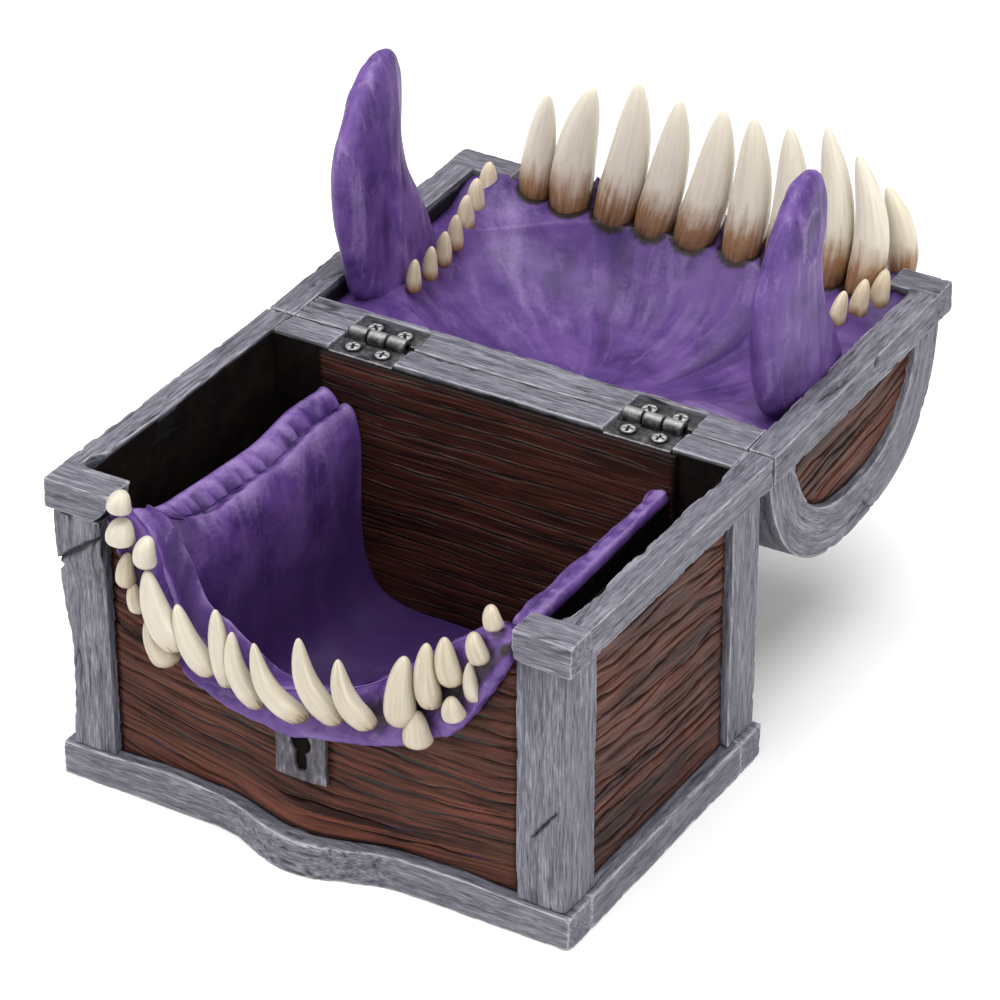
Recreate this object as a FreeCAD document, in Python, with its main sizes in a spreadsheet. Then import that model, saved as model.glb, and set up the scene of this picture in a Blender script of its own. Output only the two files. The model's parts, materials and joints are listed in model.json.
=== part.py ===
import FreeCAD, Part
import math
import os
from FreeCAD import Placement, Rotation, Vector

# Chest-shaped dice box with a toothed mouth in its front and a barrel lid on two butt hinges.
# Frame: origin at the centre of the flat underside, +Z up, -Y is the front with the mouth.
# The lid is drawn open, lying back past the hinge, in its own frame (x, reach, rise):
# reach runs from the hinge axis to the lid's far edge, rise is up from the hinge axis.

os.makedirs("parts", exist_ok=True)
doc = FreeCAD.newDocument("DiceChest")
sheet = doc.addObject("Spreadsheet::Sheet", "Dimensions")

DIMENSIONS = {
    "chest_width": 118.0,       # over the rim rails
    "chest_depth": 79.0,
    "chest_height": 69.5,       # underside to the rim's top
    "plinth_width": 117.2,
    "plinth_depth": 77.4,
    "plinth_height": 7.7,
    "plinth_rail": 8.7,
    "plinth_bulge": 6.0,        # how far the front rail swells forward of flush
    "bulge_half_width": 21.0,
    "floor_top": 12.0,
    "wall_width": 114.4,        # over the faces of the posts
    "wall_depth": 75.4,
    "post_face": 11.0,
    "cavity_half_width": 53.3,
    "cavity_back": 32.5,
    "cavity_front": 32.0,
    "panel_set_back": 1.4,      # planks lie this far behind the post faces
    "front_wall": 2.1,
    "rail_height": 6.8,
    "side_rail": 5.8,
    "block_depth": 7.7,
    "left_block_inner": 43.5,
    "right_block_inner": 46.0,
    "inner_plank_gauge": 1.6,
    "inner_plank_half_width": 41.2,
    "cheek_outer": 41.3,
    "cheek_inner": 31.8,
    "cheek_height": 61.5,
    "cheek_front": 25.0,
    "corner_fill_height": 33.0,
    "gum_front": 39.6,
    "gum_overlap": 2.0,         # the front planks run up behind the gum's lower edge
    "hinge_offset": 32.0,       # hinge centre from the middle of the chest
    "leaf_width": 15.0,
    "leaf_reach": 7.4,
    "leaf_gauge": 0.9,
    "leaf_drop": 0.95,          # top of a leaf below the hinge axis
    "knuckle_radius": 1.6,
    "knuckle_bore": 0.78,
    "pin_radius": 0.7,
    "barrel_width": 13.6,
    "screw_spacing": 7.0,
    "screw_reach": 4.3,
    "screw_head_radius": 1.7,
    "screw_head": 0.6,
    "screw_radius": 0.8,
    "screw_length": 5.0,
    "closing_gap": 0.3,         # between the two rims when shut
    "back_gap": 0.25,           # between each rim's back face and the hinge axis
    "lid_reach": 78.1,
    "lid_depth": 39.6,          # rim plane to the crown of the barrel
    "lid_tilt": 1.9,            # far edge raised, lid resting open
    "lid_side_rail": 6.4,
    "lid_back_rail": 9.0,
    "lid_front_rail": 7.3,
    "lid_rail_height": 7.0,
    "shell_gauge": 3.0,
    "arch_band": 10.5,
    "palate_rise": 5.0,         # palate's edge below the hinge axis
    "palate_gauge": 3.0,
    "bowl_half_width": 47.0,
    "bowl_half_reach": 29.5,
    "bowl_depth": 13.0,
}
for row, (alias, value) in enumerate(DIMENSIONS.items(), start=1):
    sheet.set("A%d" % row, alias)
    sheet.set("B%d" % row, str(value))
    sheet.setAlias("B%d" % row, alias)
doc.recompute()


def size(alias):
    """Value of one driving dimension."""
    return float(sheet.get(alias))


def bound(text):
    """Expression text with every driving dimension pointed at the sheet."""
    words = sorted(DIMENSIONS, key=len, reverse=True)
    for number, word in enumerate(words):
        text = text.replace(word, "@%02d@" % number)
    for number, word in enumerate(words):
        text = text.replace("@%02d@" % number, "Dimensions." + word)
    return text


nodes = []


def keep(feature, label):
    """Register a finished sub-part under its node name."""
    feature.Label = label
    nodes.append(feature)
    return feature


AXIS_HEIGHT = "(chest_height + closing_gap / 2)"
AXIS_BACK = "(chest_depth / 2)"
RIM = "(-closing_gap / 2)"                          # lid rim plane in the lid's frame
WALL_X = "(wall_width / 2)"
WALL_Y = "(wall_depth / 2)"
RIM_UNDER = "(chest_height - rail_height)"


def bind(feature, **expressions):
    """Tie properties to expressions; dots in names are written as two underscores."""
    for name, text in expressions.items():
        feature.setExpression(name.replace("__", "."), bound(text))


def tilt_onto_lid(feature, x="0", reach="0", rise="0"):
    """Place a feature given in the lid's frame."""
    feature.Placement.Rotation = Rotation(Vector(1, 0, 0), 1)
    turn = "lid_tilt * 1deg"
    bind(
        feature,
        Placement__Base__x=x,
        Placement__Base__y="%s + (%s) * cos(%s) - (%s) * sin(%s)"
        % (AXIS_BACK, reach, turn, rise, turn),
        Placement__Base__z="%s + (%s) * sin(%s) + (%s) * cos(%s)"
        % (AXIS_HEIGHT, reach, turn, rise, turn),
        Placement__Rotation__Angle="lid_tilt * 1deg",
    )


def box(name, x, y, z, on_lid=False):
    """Rectangular piece; x, y and z are (low, high) expressions."""
    feature = doc.addObject("Part::Box", name)
    bind(
        feature,
        Length="(%s) - (%s)" % (x[1], x[0]),
        Width="(%s) - (%s)" % (y[1], y[0]),
        Height="(%s) - (%s)" % (z[1], z[0]),
    )
    if on_lid:
        tilt_onto_lid(feature, x[0], y[0], z[0])
    else:
        bind(feature, Placement__Base__x=x[0], Placement__Base__y=y[0], Placement__Base__z=z[0])
    return feature


def post(name, x, y, side, end):
    """L-shaped corner post; side and end are -1 or 1 for the corner it stands in."""
    body = doc.addObject("PartDesign::Body", name)
    sketch = body.newObject("Sketcher::SketchObject", name + "_plan")
    plane = [item for item in body.Origin.OriginFeatures if item.Role == "XY_Plane"][0]
    sketch.AttachmentSupport = [(plane, "")]
    sketch.MapMode = "FlatFace"
    face = size("post_face")
    side_gauge = x - size("cavity_half_width")
    end_gauge = y - (size("cavity_back") if end > 0 else size("cavity_front"))
    corners = [
        (0, 0, "0", "0"),
        (-face, 0, "post_face", "0"),
        (-face, -end_gauge, "post_face", str(end_gauge)),
        (-side_gauge, -end_gauge, str(side_gauge), str(end_gauge)),
        (-side_gauge, -face, str(side_gauge), "post_face"),
        (0, -face, "0", "post_face"),
    ]
    count = len(corners)
    for index, corner in enumerate(corners):
        following = corners[(index + 1) % count]
        start = Vector(side * corner[0], end * corner[1], 0)
        stop = Vector(side * following[0], end * following[1], 0)
        sketch.addGeometry(Part.LineSegment(start, stop), False)
    pad = body.newObject("PartDesign::Pad", name + "_pad")
    pad.Profile = sketch
    bind(pad, Length="%s - plinth_height" % RIM_UNDER)
    bind(
        body,
        Placement__Base__x="%d * %s" % (side, WALL_X),
        Placement__Base__y="%d * %s" % (end, WALL_Y),
        Placement__Base__z="plinth_height",
    )
    return body


def solid(name, shape, on_lid=False):
    """Free-form piece whose shape is computed from the sheet."""
    feature = doc.addObject("Part::Feature", name)
    feature.Shape = shape
    if on_lid:
        tilt_onto_lid(feature)
    return feature


def plate(outline, low, high, axis):
    """Prism of a closed outline of edges along Y (axis 'y') or X (axis 'x')."""
    face = Part.Face(Part.Wire(outline))
    length = high - low
    direction = Vector(0, length, 0) if axis == "y" else Vector(length, 0, 0)
    return face.extrude(direction)


def curve(points):
    """Smooth edge through points."""
    spline = Part.BSplineCurve()
    spline.interpolate(points)
    return spline.toShape()


def chain(points):
    """Straight edges through points."""
    return [Part.makeLine(a, b) for a, b in zip(points, points[1:])]


def block_shape(x, y, z):
    """Box shape between (low, high) pairs, for use in booleans."""
    return Part.makeBox(x[1] - x[0], y[1] - y[0], z[1] - z[0], Vector(x[0], y[0], z[0]))


# ---------------------------------------------------------------- plinth and floor
PLINTH_X = "(plinth_width / 2)"
PLINTH_Y = "(plinth_depth / 2)"


def front_rail_shape():
    """Front plinth rail: flush at both ends, swelling forward around the middle."""
    half = size("plinth_width") / 2
    front = -size("plinth_depth") / 2
    back = front + size("plinth_rail")
    reach = size("bulge_half_width")
    bulge = front - size("plinth_bulge")
    outline = chain([
        Vector(-reach, front, 0), Vector(-half, front, 0), Vector(-half, back, 0),
        Vector(half, back, 0), Vector(half, front, 0), Vector(reach, front, 0),
    ])
    arc = Part.Arc(Vector(reach, front, 0), Vector(0, bulge, 0), Vector(-reach, front, 0))
    outline.append(arc.toShape())
    return Part.Face(Part.Wire(outline)).extrude(Vector(0, 0, size("plinth_height")))


keep(solid("FrontPlinthRail", front_rail_shape()), "plinth_front_rail")
SIDE_RAIL_Y = ("-%s + plinth_rail" % PLINTH_Y, "%s - plinth_rail" % PLINTH_Y)
PLINTH_Z = ("0", "plinth_height")
keep(box("LeftPlinthRail", ("-" + PLINTH_X, "-%s + plinth_rail" % PLINTH_X),
         SIDE_RAIL_Y, PLINTH_Z), "plinth_left_rail")
keep(box("RightPlinthRail", (PLINTH_X + " - plinth_rail", PLINTH_X),
         SIDE_RAIL_Y, PLINTH_Z), "plinth_right_rail")
keep(box("BackPlinthRail", ("-" + PLINTH_X, PLINTH_X),
         (PLINTH_Y + " - plinth_rail", PLINTH_Y), PLINTH_Z), "plinth_back_rail")

lower_floor = box(
    "FloorLower",
    ("-%s + plinth_rail" % PLINTH_X, PLINTH_X + " - plinth_rail"),
    SIDE_RAIL_Y, PLINTH_Z,
)
upper_floor = box(
    "FloorUpper", ("-cavity_half_width", "cavity_half_width"),
    ("-cavity_front", "cavity_back"), ("plinth_height", "floor_top"),
)
floor = doc.addObject("Part::Fuse", "Floor")
floor.Base = lower_floor
floor.Tool = upper_floor
keep(floor, "floor_board")

# ---------------------------------------------------------------- posts and planked walls
half_x = size("wall_width") / 2
half_y = size("wall_depth") / 2
for label, side, end in (("post_front_left", -1, -1), ("post_front_right", 1, -1),
                         ("post_back_left", -1, 1), ("post_back_right", 1, 1)):
    keep(post("".join(word.title() for word in label.split("_")), half_x, half_y, side, end), label)

WALL_Z = ("plinth_height", RIM_UNDER)
PANEL_Y = ("-%s + post_face" % WALL_Y, WALL_Y + " - post_face")
keep(box("LeftPanel", ("-%s + panel_set_back" % WALL_X, "-cavity_half_width"),
         PANEL_Y, WALL_Z), "left_panel")
keep(box("RightPanel", ("cavity_half_width", WALL_X + " - panel_set_back"),
         PANEL_Y, WALL_Z), "right_panel")
PANEL_X = ("-%s + post_face" % WALL_X, WALL_X + " - post_face")
keep(box("BackPanel", PANEL_X, ("cavity_back", WALL_Y + " - panel_set_back"),
         WALL_Z), "back_panel")
keep(box("BackInnerPlanks", ("-inner_plank_half_width", "inner_plank_half_width"),
         ("cavity_back - inner_plank_gauge", "cavity_back"),
         ("floor_top", RIM_UNDER)), "back_inner_planks")

# The mouth: height of the lip across the front, and of the gum's lower edge.
LIP = [(-44.5, 61.8), (-40.2, 60.5), (-34.2, 52.0), (-28.1, 40.6), (-20.1, 37.0), (-9.0, 35.8),
       (3.0, 39.0), (15.5, 45.8), (28.8, 56.4), (38.0, 60.6), (44.5, 61.8)]
GUM_EDGE = [(-44.5, 57.5), (-38.5, 50.5), (-32.0, 41.5), (-24.0, 35.0), (-11.0, 31.2), (4.0, 31.4),
            (18.0, 34.4), (30.0, 39.4), (38.0, 46.8), (42.5, 55.0), (44.5, 58.0)]


def along(points, y, lift=0.0):
    """Points of a mouth line on the plane at y."""
    return [Vector(x, y, z + lift) for x, z in points]


def front_panel_shape():
    """Front planks, cut away under the mouth, swelling out to meet the plinth's bulge."""
    outer = -half_y + size("panel_set_back")
    inner = outer + size("front_wall")
    side = half_x - size("post_face")
    low = size("plinth_height")
    high = size("chest_height") - size("rail_height")
    top = along(GUM_EDGE, outer, size("gum_overlap"))
    edges = [curve(top)]
    edges += chain([top[-1], Vector(side, outer, high), Vector(side, outer, low),
                    Vector(-side, outer, low), Vector(-side, outer, high), top[0]])
    board = plate(edges, outer, inner, "y")
    reach = size("bulge_half_width") - 1.0
    swell = size("plinth_bulge") - 2.0
    wires = []
    for height, depth in ((low, swell), (low + 5.0, swell * 0.6), (low + 10.0, 0.3)):
        start = Vector(-reach, outer, height)
        stop = Vector(reach, outer, height)
        arc = Part.Arc(start, Vector(0, outer - depth, height), stop).toShape()
        wires.append(Part.Wire([arc, Part.makeLine(stop, start)]))
    bulge = Part.makeLoft(wires, True, True)
    return board.fuse(bulge).removeSplitter()


keep(solid("FrontPanel", front_panel_shape()), "front_panel")

# ---------------------------------------------------------------- rim of the chest
RIM_Z = (RIM_UNDER, "chest_height")
HALF_W = "(chest_width / 2)"
HALF_D = "(chest_depth / 2)"
BACK_FACE = HALF_D + " - back_gap"
keep(box("RimLeft", ("-" + HALF_W, "-%s + side_rail" % HALF_W),
         ("-" + HALF_D, BACK_FACE), RIM_Z), "rim_left_rail")
keep(box("RimRight", (HALF_W + " - side_rail", HALF_W),
         ("-" + HALF_D, BACK_FACE), RIM_Z), "rim_right_rail")
keep(box("RimFrontLeft", ("-%s + side_rail" % HALF_W, "-left_block_inner"),
         ("-" + HALF_D, "-%s + block_depth" % HALF_D), RIM_Z), "rim_front_left_block")
keep(box("RimFrontRight", ("right_block_inner", HALF_W + " - side_rail"),
         ("-" + HALF_D, "-%s + block_depth" % HALF_D), RIM_Z), "rim_front_right_block")


def mortise_cutters(name, rise, on_back):
    """Pockets for both hinges in a back rail: leaf bed, knuckle clearance and screw holes.

    rise is the height of the hinge axis, on_back is 1 past the axis (lid) or -1 before it.
    """
    cutters = []
    gap = 0.15
    axis = "0" if on_back > 0 else AXIS_BACK
    for side, word in ((-1, "Left"), (1, "Right")):
        centre = "%d * hinge_offset" % side
        bed = "leaf_reach + %s" % gap
        low = "%s - leaf_drop - leaf_gauge - %s" % (rise, gap)
        half = "(leaf_width / 2 + %s)" % gap
        near, far = ("0", bed) if on_back > 0 else ("-(%s)" % bed, "0")
        cutters.append(box(
            name + word + "Bed", ("%s - %s" % (centre, half), "%s + %s" % (centre, half)),
            ("%s + %s" % (axis, near), "%s + %s" % (axis, far)), (low, rise + " + 1")))
        groove = doc.addObject("Part::Cylinder", name + word + "Groove")
        groove.Placement.Rotation = Rotation(Vector(0, 1, 0), 90)
        bind(groove, Radius="knuckle_radius + %s" % gap, Height="leaf_width + %s" % (2 * gap),
             Placement__Base__x="%s - %s" % (centre, half), Placement__Base__y=axis,
             Placement__Base__z=rise)
        cutters.append(groove)
        for step in (-0.5, 0.5):
            hole = doc.addObject("Part::Cylinder", name + word + "Hole")
            bind(hole, Radius="screw_radius + 0.03", Height="screw_length + 2",
                 Placement__Base__x="%s + %s * screw_spacing" % (centre, step),
                 Placement__Base__y="%s + %d * screw_reach" % (axis, on_back),
                 Placement__Base__z="%s - leaf_drop - screw_length - 0.3" % rise)
            cutters.append(hole)
    fused = doc.addObject("Part::MultiFuse", name + "Cutters")
    fused.Shapes = cutters
    return fused


def cut(name, base, tool):
    feature = doc.addObject("Part::Cut", name)
    feature.Base = base
    feature.Tool = tool
    return feature


back_rail = box("RimBackBlank", ("-%s + side_rail" % HALF_W, HALF_W + " - side_rail"),
                ("cavity_back", BACK_FACE), RIM_Z)
keep(cut("RimBack", back_rail, mortise_cutters("RimBack", AXIS_HEIGHT, -1)), "rim_back_rail")

lid_back_blank = box("LidBackBlank",
                     ("-%s + lid_side_rail" % HALF_W, HALF_W + " - lid_side_rail"),
                     ("back_gap", "lid_back_rail"), (RIM + " - lid_rail_height", RIM))
lid_back = cut("LidBack", lid_back_blank, mortise_cutters("LidBack", "0", 1))
tilt_onto_lid(lid_back)
keep(lid_back, "lid_back_rail")

# ---------------------------------------------------------------- mouth lining
floor_z = size("floor_top")


LEFT_WEB = (-44.4, -40.8)       # from edge to edge of the web in front of the left cheek
RIGHT_WEB = (45.0, 45.9)
FILL_OUTER = 44.4               # outer edge of the low fill in both front corners


def cheek_shape(side):
    """Curtain of flesh along one side of the basin, with its web to the front corner."""
    outer = size("cheek_outer")
    inner = size("cheek_inner")
    top = size("cheek_height")
    back = size("cavity_back") - size("inner_plank_gauge")
    front = -size("cheek_front")
    face = curve([Vector(side * x, front, z) for x, z in (
        (outer, top - 3.5), (outer - 1.2, top - 0.4), (outer - 4.5, top - 3.2),
        (inner + 1.2, top - 9.0), (inner, top - 16.0), (inner + 0.8, top - 28.0),
        (inner, floor_z + 8.0), (inner - 2.6, floor_z))])
    ends = face.Vertexes
    foot = Vector(side * outer, front, floor_z)
    edges = [face] + chain([ends[1].Point, foot, ends[0].Point])
    wall = plate(edges, front, back, "y")
    wall_inner = -half_y + size("panel_set_back") + size("front_wall")
    web_x = RIGHT_WEB if side > 0 else LEFT_WEB
    web = block_shape(web_x, (wall_inner, front), (floor_z, top))
    fill_x = sorted((side * (inner + 0.4), side * FILL_OUTER))
    fill = block_shape(fill_x, (wall_inner, front), (floor_z, size("corner_fill_height")))
    return wall.fuse([web, fill]).removeSplitter()


keep(solid("LeftCheek", cheek_shape(-1)), "left_cheek")
keep(solid("RightCheek", cheek_shape(1)), "right_cheek")


def lining_shape():
    """Flesh inside the front wall, thickening towards the basin's foot."""
    wall = -half_y + size("panel_set_back") + size("front_wall")
    side = size("cheek_inner")
    face = curve([Vector(-side, wall + depth, z) for depth, z in (
        (0.6, 31.5), (2.2, 28.0), (3.2, 20.0), (7.2, floor_z))])
    ends = face.Vertexes
    corner = Vector(-side, wall, floor_z)
    top = Vector(-side, wall, 31.5)
    edges = [face] + chain([ends[1].Point, corner, top, ends[0].Point])
    return plate(edges, -side, side, "x")


keep(solid("FrontLining", lining_shape()), "front_lining")
foot = size("cheek_inner") - 2.6
keep(box("MouthFloor", (str(-foot), str(foot)), ("-cheek_front", "cavity_back - inner_plank_gauge"),
         ("floor_top", "floor_top + 1.5")), "mouth_floor")


def gum_shape():
    """Gum that overlaps the front planks and carries the lower teeth."""
    panel = -half_y + size("panel_set_back")
    front = -size("gum_front")
    upper = along(LIP, front)
    lower = along(GUM_EDGE, front)
    edges = [curve(upper), Part.makeLine(upper[-1], lower[-1]),
             curve(lower), Part.makeLine(lower[0], upper[0])]
    return plate(edges, front, panel, "y")


keep(solid("LowerGum", gum_shape()), "lower_gum")


def tooth(root, tip, radius):
    """Ogive tooth from its root to its tip, round in section."""
    run = tip - root
    length = run.Length
    profile = ((1.0, 0.0), (0.97, 0.25), (0.8, 0.55), (0.44, 0.86), (0.0, 1.0))
    shoulder = curve([Vector(radius * out, 0, length * up) for out, up in profile])
    edges = chain([Vector(0, 0, length), Vector(0, 0, 0), Vector(radius, 0, 0)]) + [shoulder]
    turned = Part.Face(Part.Wire(edges)).revolve(Vector(0, 0, 0), Vector(0, 0, 1), 360)
    turned.Placement = Placement(root, Rotation(Vector(0, 0, 1), run))
    return turned


def teeth(rows):
    """Group of teeth: each row is root (x, y, z), tip (x, y, z) and radius."""
    return Part.makeCompound([tooth(Vector(*root), Vector(*tip), radius)
                              for root, tip, radius in rows])


# Big fangs of the lower jaw: x and z of root, x and z of tip, radius, distance forward.
LOWER_FANGS = [
    (-39.9, 67.4, -39.0, 73.2, 2.5, 40.9), (-40.0, 60.2, -39.2, 67.0, 3.0, 40.9),
    (-34.4, 56.6, -33.7, 64.6, 2.4, 40.6), (-25.8, 40.0, -33.8, 57.6, 3.1, 41.6),
    (-18.4, 36.8, -27.4, 51.7, 2.6, 41.2), (-15.4, 35.0, -18.6, 53.2, 2.4, 40.8),
    (-7.8, 32.8, -14.8, 49.6, 2.4, 41.2), (3.2, 34.0, -9.6, 49.0, 2.4, 41.6),
    (10.4, 35.6, 0.4, 53.3, 2.6, 41.2), (17.6, 37.0, 9.3, 51.6, 2.6, 41.4),
    (23.0, 40.0, 24.2, 57.2, 3.2, 41.2), (29.6, 45.4, 28.4, 61.0, 2.6, 40.2),
    (34.0, 51.0, 31.4, 62.6, 2.4, 38.9), (40.2, 58.4, 37.2, 65.4, 2.0, 38.4),
    (42.0, 65.6, 40.2, 71.6, 1.9, 37.0),
]
# Small outer teeth below them.
LOWER_SMALL_TEETH = [
    (-39.2, 51.6, -38.6, 59.4, 2.0, 40.6), (-35.6, 46.8, -37.8, 53.0, 1.9, 40.8),
    (-27.9, 37.8, -34.2, 46.3, 2.0, 41.2), (28.6, 38.2, 25.8, 46.0, 1.9, 41.0),
    (35.2, 46.4, 33.6, 53.8, 1.8, 40.2), (38.2, 50.4, 36.8, 58.8, 1.7, 38.6),
]


def jaw_rows(table, swell=0.0):
    """Rows for teeth() from a jaw table, every radius swollen by a clearance."""
    return [((x0, -forward, z0), (x1, -forward, z1), radius + swell)
            for x0, z0, x1, z1, radius, forward in table]


keep(solid("LowerFangs", teeth(jaw_rows(LOWER_FANGS))), "lower_fangs")
fang_room = teeth(jaw_rows(LOWER_FANGS, 0.12))
small_teeth = [peg.cut(fang_room) for peg in teeth(jaw_rows(LOWER_SMALL_TEETH)).Solids]
keep(solid("LowerSmallTeeth", Part.makeCompound(small_teeth)), "lower_small_teeth")


def lock_plate_shape():
    """Flat lock plate with a through keyhole: a round eye over a flared slot."""
    face = -half_y + size("panel_set_back")
    gauge = 1.1
    left, right, foot, head = -7.8, 3.6, 17.9, 30.4
    plate_box = block_shape((left, right), (face - gauge, face), (foot, head))
    middle = (left + right) / 2
    eye_z = 25.0
    slot_z = 19.6
    front = face - 2
    eye = Part.makeCylinder(1.35, 4, Vector(middle, front, eye_z), Vector(0, 1, 0))
    top_half, foot_half = 0.6, 1.1
    slot = plate(chain([Vector(middle - top_half, front, eye_z - 0.4),
                        Vector(middle + top_half, front, eye_z - 0.4),
                        Vector(middle + foot_half, front, slot_z),
                        Vector(middle - foot_half, front, slot_z),
                        Vector(middle - top_half, front, eye_z - 0.4)]), front, face + 2, "y")
    return plate_box.cut(eye).cut(slot)


keep(solid("LockPlate", lock_plate_shape()), "lock_plate")

# ---------------------------------------------------------------- hinges
knuckle = size("knuckle_radius")
barrel_half = size("barrel_width") / 2
middle_half = barrel_half / 3
leaf_start = 1.9                # near edge of a leaf's flat sheet, from the hinge axis
tail_reach = 2.2                # far edge of the tongue that carries each knuckle


def leaf_shape(centre, direction, spans):
    """Hinge leaf about an axis along X through (0, 0); direction -1 is the chest's side."""
    top = -size("leaf_drop")
    low = top - size("leaf_gauge")
    reach = size("leaf_reach")
    half = size("leaf_width") / 2
    rounding = 2.0
    sheet_y = sorted((direction * leaf_start, direction * reach))
    flap = block_shape((centre - half, centre + half), sheet_y, (low, top))
    far = [edge for edge in flap.Edges
           if abs(edge.CenterOfMass.y - direction * reach) < 1e-6
           and abs(edge.CenterOfMass.z - (low + top) / 2) < 1e-6]
    flap = flap.makeFillet(rounding, far)
    pieces = [flap]
    for start, stop in spans:
        roll = Part.makeCylinder(knuckle, stop - start, Vector(centre + start, 0, 0),
                                 Vector(1, 0, 0))
        tail_y = sorted((0.0, direction * tail_reach))
        tail = block_shape((centre + start, centre + stop), tail_y, (-knuckle, top))
        pieces += [roll, tail]
    leaf = pieces[0].fuse(pieces[1:])
    bore = Part.makeCylinder(size("knuckle_bore"), 2 * half, Vector(centre - half, 0, 0),
                             Vector(1, 0, 0))
    leaf = leaf.cut(bore)
    for step in (-0.5, 0.5):
        spot = Vector(centre + step * size("screw_spacing"), direction * size("screw_reach"), low - 1)
        leaf = leaf.cut(Part.makeCylinder(size("screw_radius") + 0.05, 4, spot))
    return leaf.removeSplitter()


def screw_shape(x, y):
    """Cross-head screw, head resting on a leaf, standing along the local Z."""
    seat = -size("leaf_drop")
    head = Part.makeCylinder(size("screw_head_radius"), size("screw_head"), Vector(x, y, seat))
    shank = Part.makeCylinder(size("screw_radius"), size("screw_length"),
                              Vector(x, y, seat - size("screw_length")))
    body = head.fuse(shank)
    arm = size("screw_head_radius") * 0.6
    width = 0.25
    crown = seat + size("screw_head")
    for wide, long in ((arm, width), (width, arm)):
        body = body.cut(block_shape((x - wide, x + wide), (y - long, y + long),
                                    (crown - 0.35, crown + 1)))
    return body


def screw_group(direction):
    spots = [(side * size("hinge_offset") + step * size("screw_spacing"),
              direction * size("screw_reach")) for side in (-1, 1) for step in (-0.5, 0.5)]
    return Part.makeCompound([screw_shape(x, y) for x, y in spots])


play = 0.12
OUTER_SPANS = ((-barrel_half, -middle_half - play), (middle_half + play, barrel_half))
MIDDLE_SPAN = ((-middle_half, middle_half),)
for side, word in ((-1, "left"), (1, "right")):
    centre = side * size("hinge_offset")
    base_leaf = solid(word.title() + "BaseLeaf", leaf_shape(centre, -1, OUTER_SPANS))
    bind(base_leaf, Placement__Base__y=AXIS_BACK, Placement__Base__z=AXIS_HEIGHT)
    keep(base_leaf, word + "_hinge_chest_leaf")
    keep(solid(word.title() + "LidLeaf", leaf_shape(centre, 1, MIDDLE_SPAN), True),
         word + "_hinge_lid_leaf")
    pin = doc.addObject("Part::Cylinder", word.title() + "Pin")
    pin.Placement.Rotation = Rotation(Vector(0, 1, 0), 90)
    bind(pin, Radius="pin_radius", Height="barrel_width",
         Placement__Base__x="%d * hinge_offset - barrel_width / 2" % side,
         Placement__Base__y=AXIS_BACK, Placement__Base__z=AXIS_HEIGHT)
    keep(pin, word + "_hinge_pin")
base_screws = solid("ChestScrews", screw_group(-1))
bind(base_screws, Placement__Base__y=AXIS_BACK, Placement__Base__z=AXIS_HEIGHT)
keep(base_screws, "chest_hinge_screws")
keep(solid("LidScrews", screw_group(1), True), "lid_hinge_screws")

# ---------------------------------------------------------------- lid frame and barrel
LID_RAIL_Z = (RIM + " - lid_rail_height", RIM)
FULL_REACH = ("back_gap", "lid_reach")
FRONT_REACH = ("lid_reach - lid_front_rail", "lid_reach")
keep(box("LidLeft", ("-" + HALF_W, "-%s + lid_side_rail" % HALF_W), FULL_REACH,
         LID_RAIL_Z, True), "lid_left_rail")
keep(box("LidRight", (HALF_W + " - lid_side_rail", HALF_W), FULL_REACH,
         LID_RAIL_Z, True), "lid_right_rail")
keep(box("LidFrontLeft", ("-%s + lid_side_rail" % HALF_W, "-left_block_inner"), FRONT_REACH,
         LID_RAIL_Z, True), "lid_front_left_block")
keep(box("LidFrontRight", ("right_block_inner + 1.5", HALF_W + " - lid_side_rail"), FRONT_REACH,
         LID_RAIL_Z, True), "lid_front_right_block")

rail_under = -size("closing_gap") / 2 - size("lid_rail_height")


def barrel_outline(inset):
    """Closed edges of the barrel's cross-section below the rails, on the plane x = 0."""
    low = 1.2 + inset
    high = size("lid_reach") - 1.6 - inset
    middle = (low + high) / 2
    half = (high - low) / 2
    depth = size("lid_depth") - inset
    points = []
    steps = 12
    for index in range(steps + 1):
        angle = math.pi * index / steps
        fullness = 2.3 if index < steps / 2 else 2.7
        swing = math.cos(angle)
        across = math.copysign(abs(swing) ** (2 / fullness), swing)
        down = math.sin(angle) ** (2 / fullness)
        points.append(Vector(0, middle - half * across, -max(0.0, depth * down)))
    arch = curve(points)
    face = Part.Face(Part.Wire([arch, Part.makeLine(points[-1], points[0])]))
    return face


def barrel_slab(inset, low, high):
    """Barrel section between two stations along X, cut off under the rails."""
    slab = barrel_outline(inset).extrude(Vector(high - low, 0, 0))
    slab.translate(Vector(low, 0, 0))
    above = block_shape((low - 1, high + 1), (-5, 90), (rail_under, 5))
    return slab.cut(above)


end_face = half_x
frame_inner = half_x - size("post_face")
shell = size("shell_gauge")
relief = size("panel_set_back")
for side, word in ((-1, "left"), (1, "right")):
    low, high = sorted((side * frame_inner, side * end_face))
    hollow_low, hollow_high = sorted((side * (frame_inner - 1), side * (end_face - 3.9)))
    window_low, window_high = sorted((side * (end_face - 6), side * (end_face + 1)))
    arch = barrel_slab(0, low, high)
    arch = arch.cut(barrel_slab(shell + relief, hollow_low, hollow_high))
    arch = arch.cut(barrel_slab(size("arch_band"), window_low, window_high))
    keep(solid(word.title() + "Arch", arch, True), "lid_%s_arch" % word)
    panel_low, panel_high = sorted((side * (end_face - 3.9), side * (end_face - relief)))
    panel = barrel_slab(size("arch_band"), panel_low, panel_high)
    keep(solid(word.title() + "EndPanel", panel, True), "lid_%s_end_panel" % word)

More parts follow.
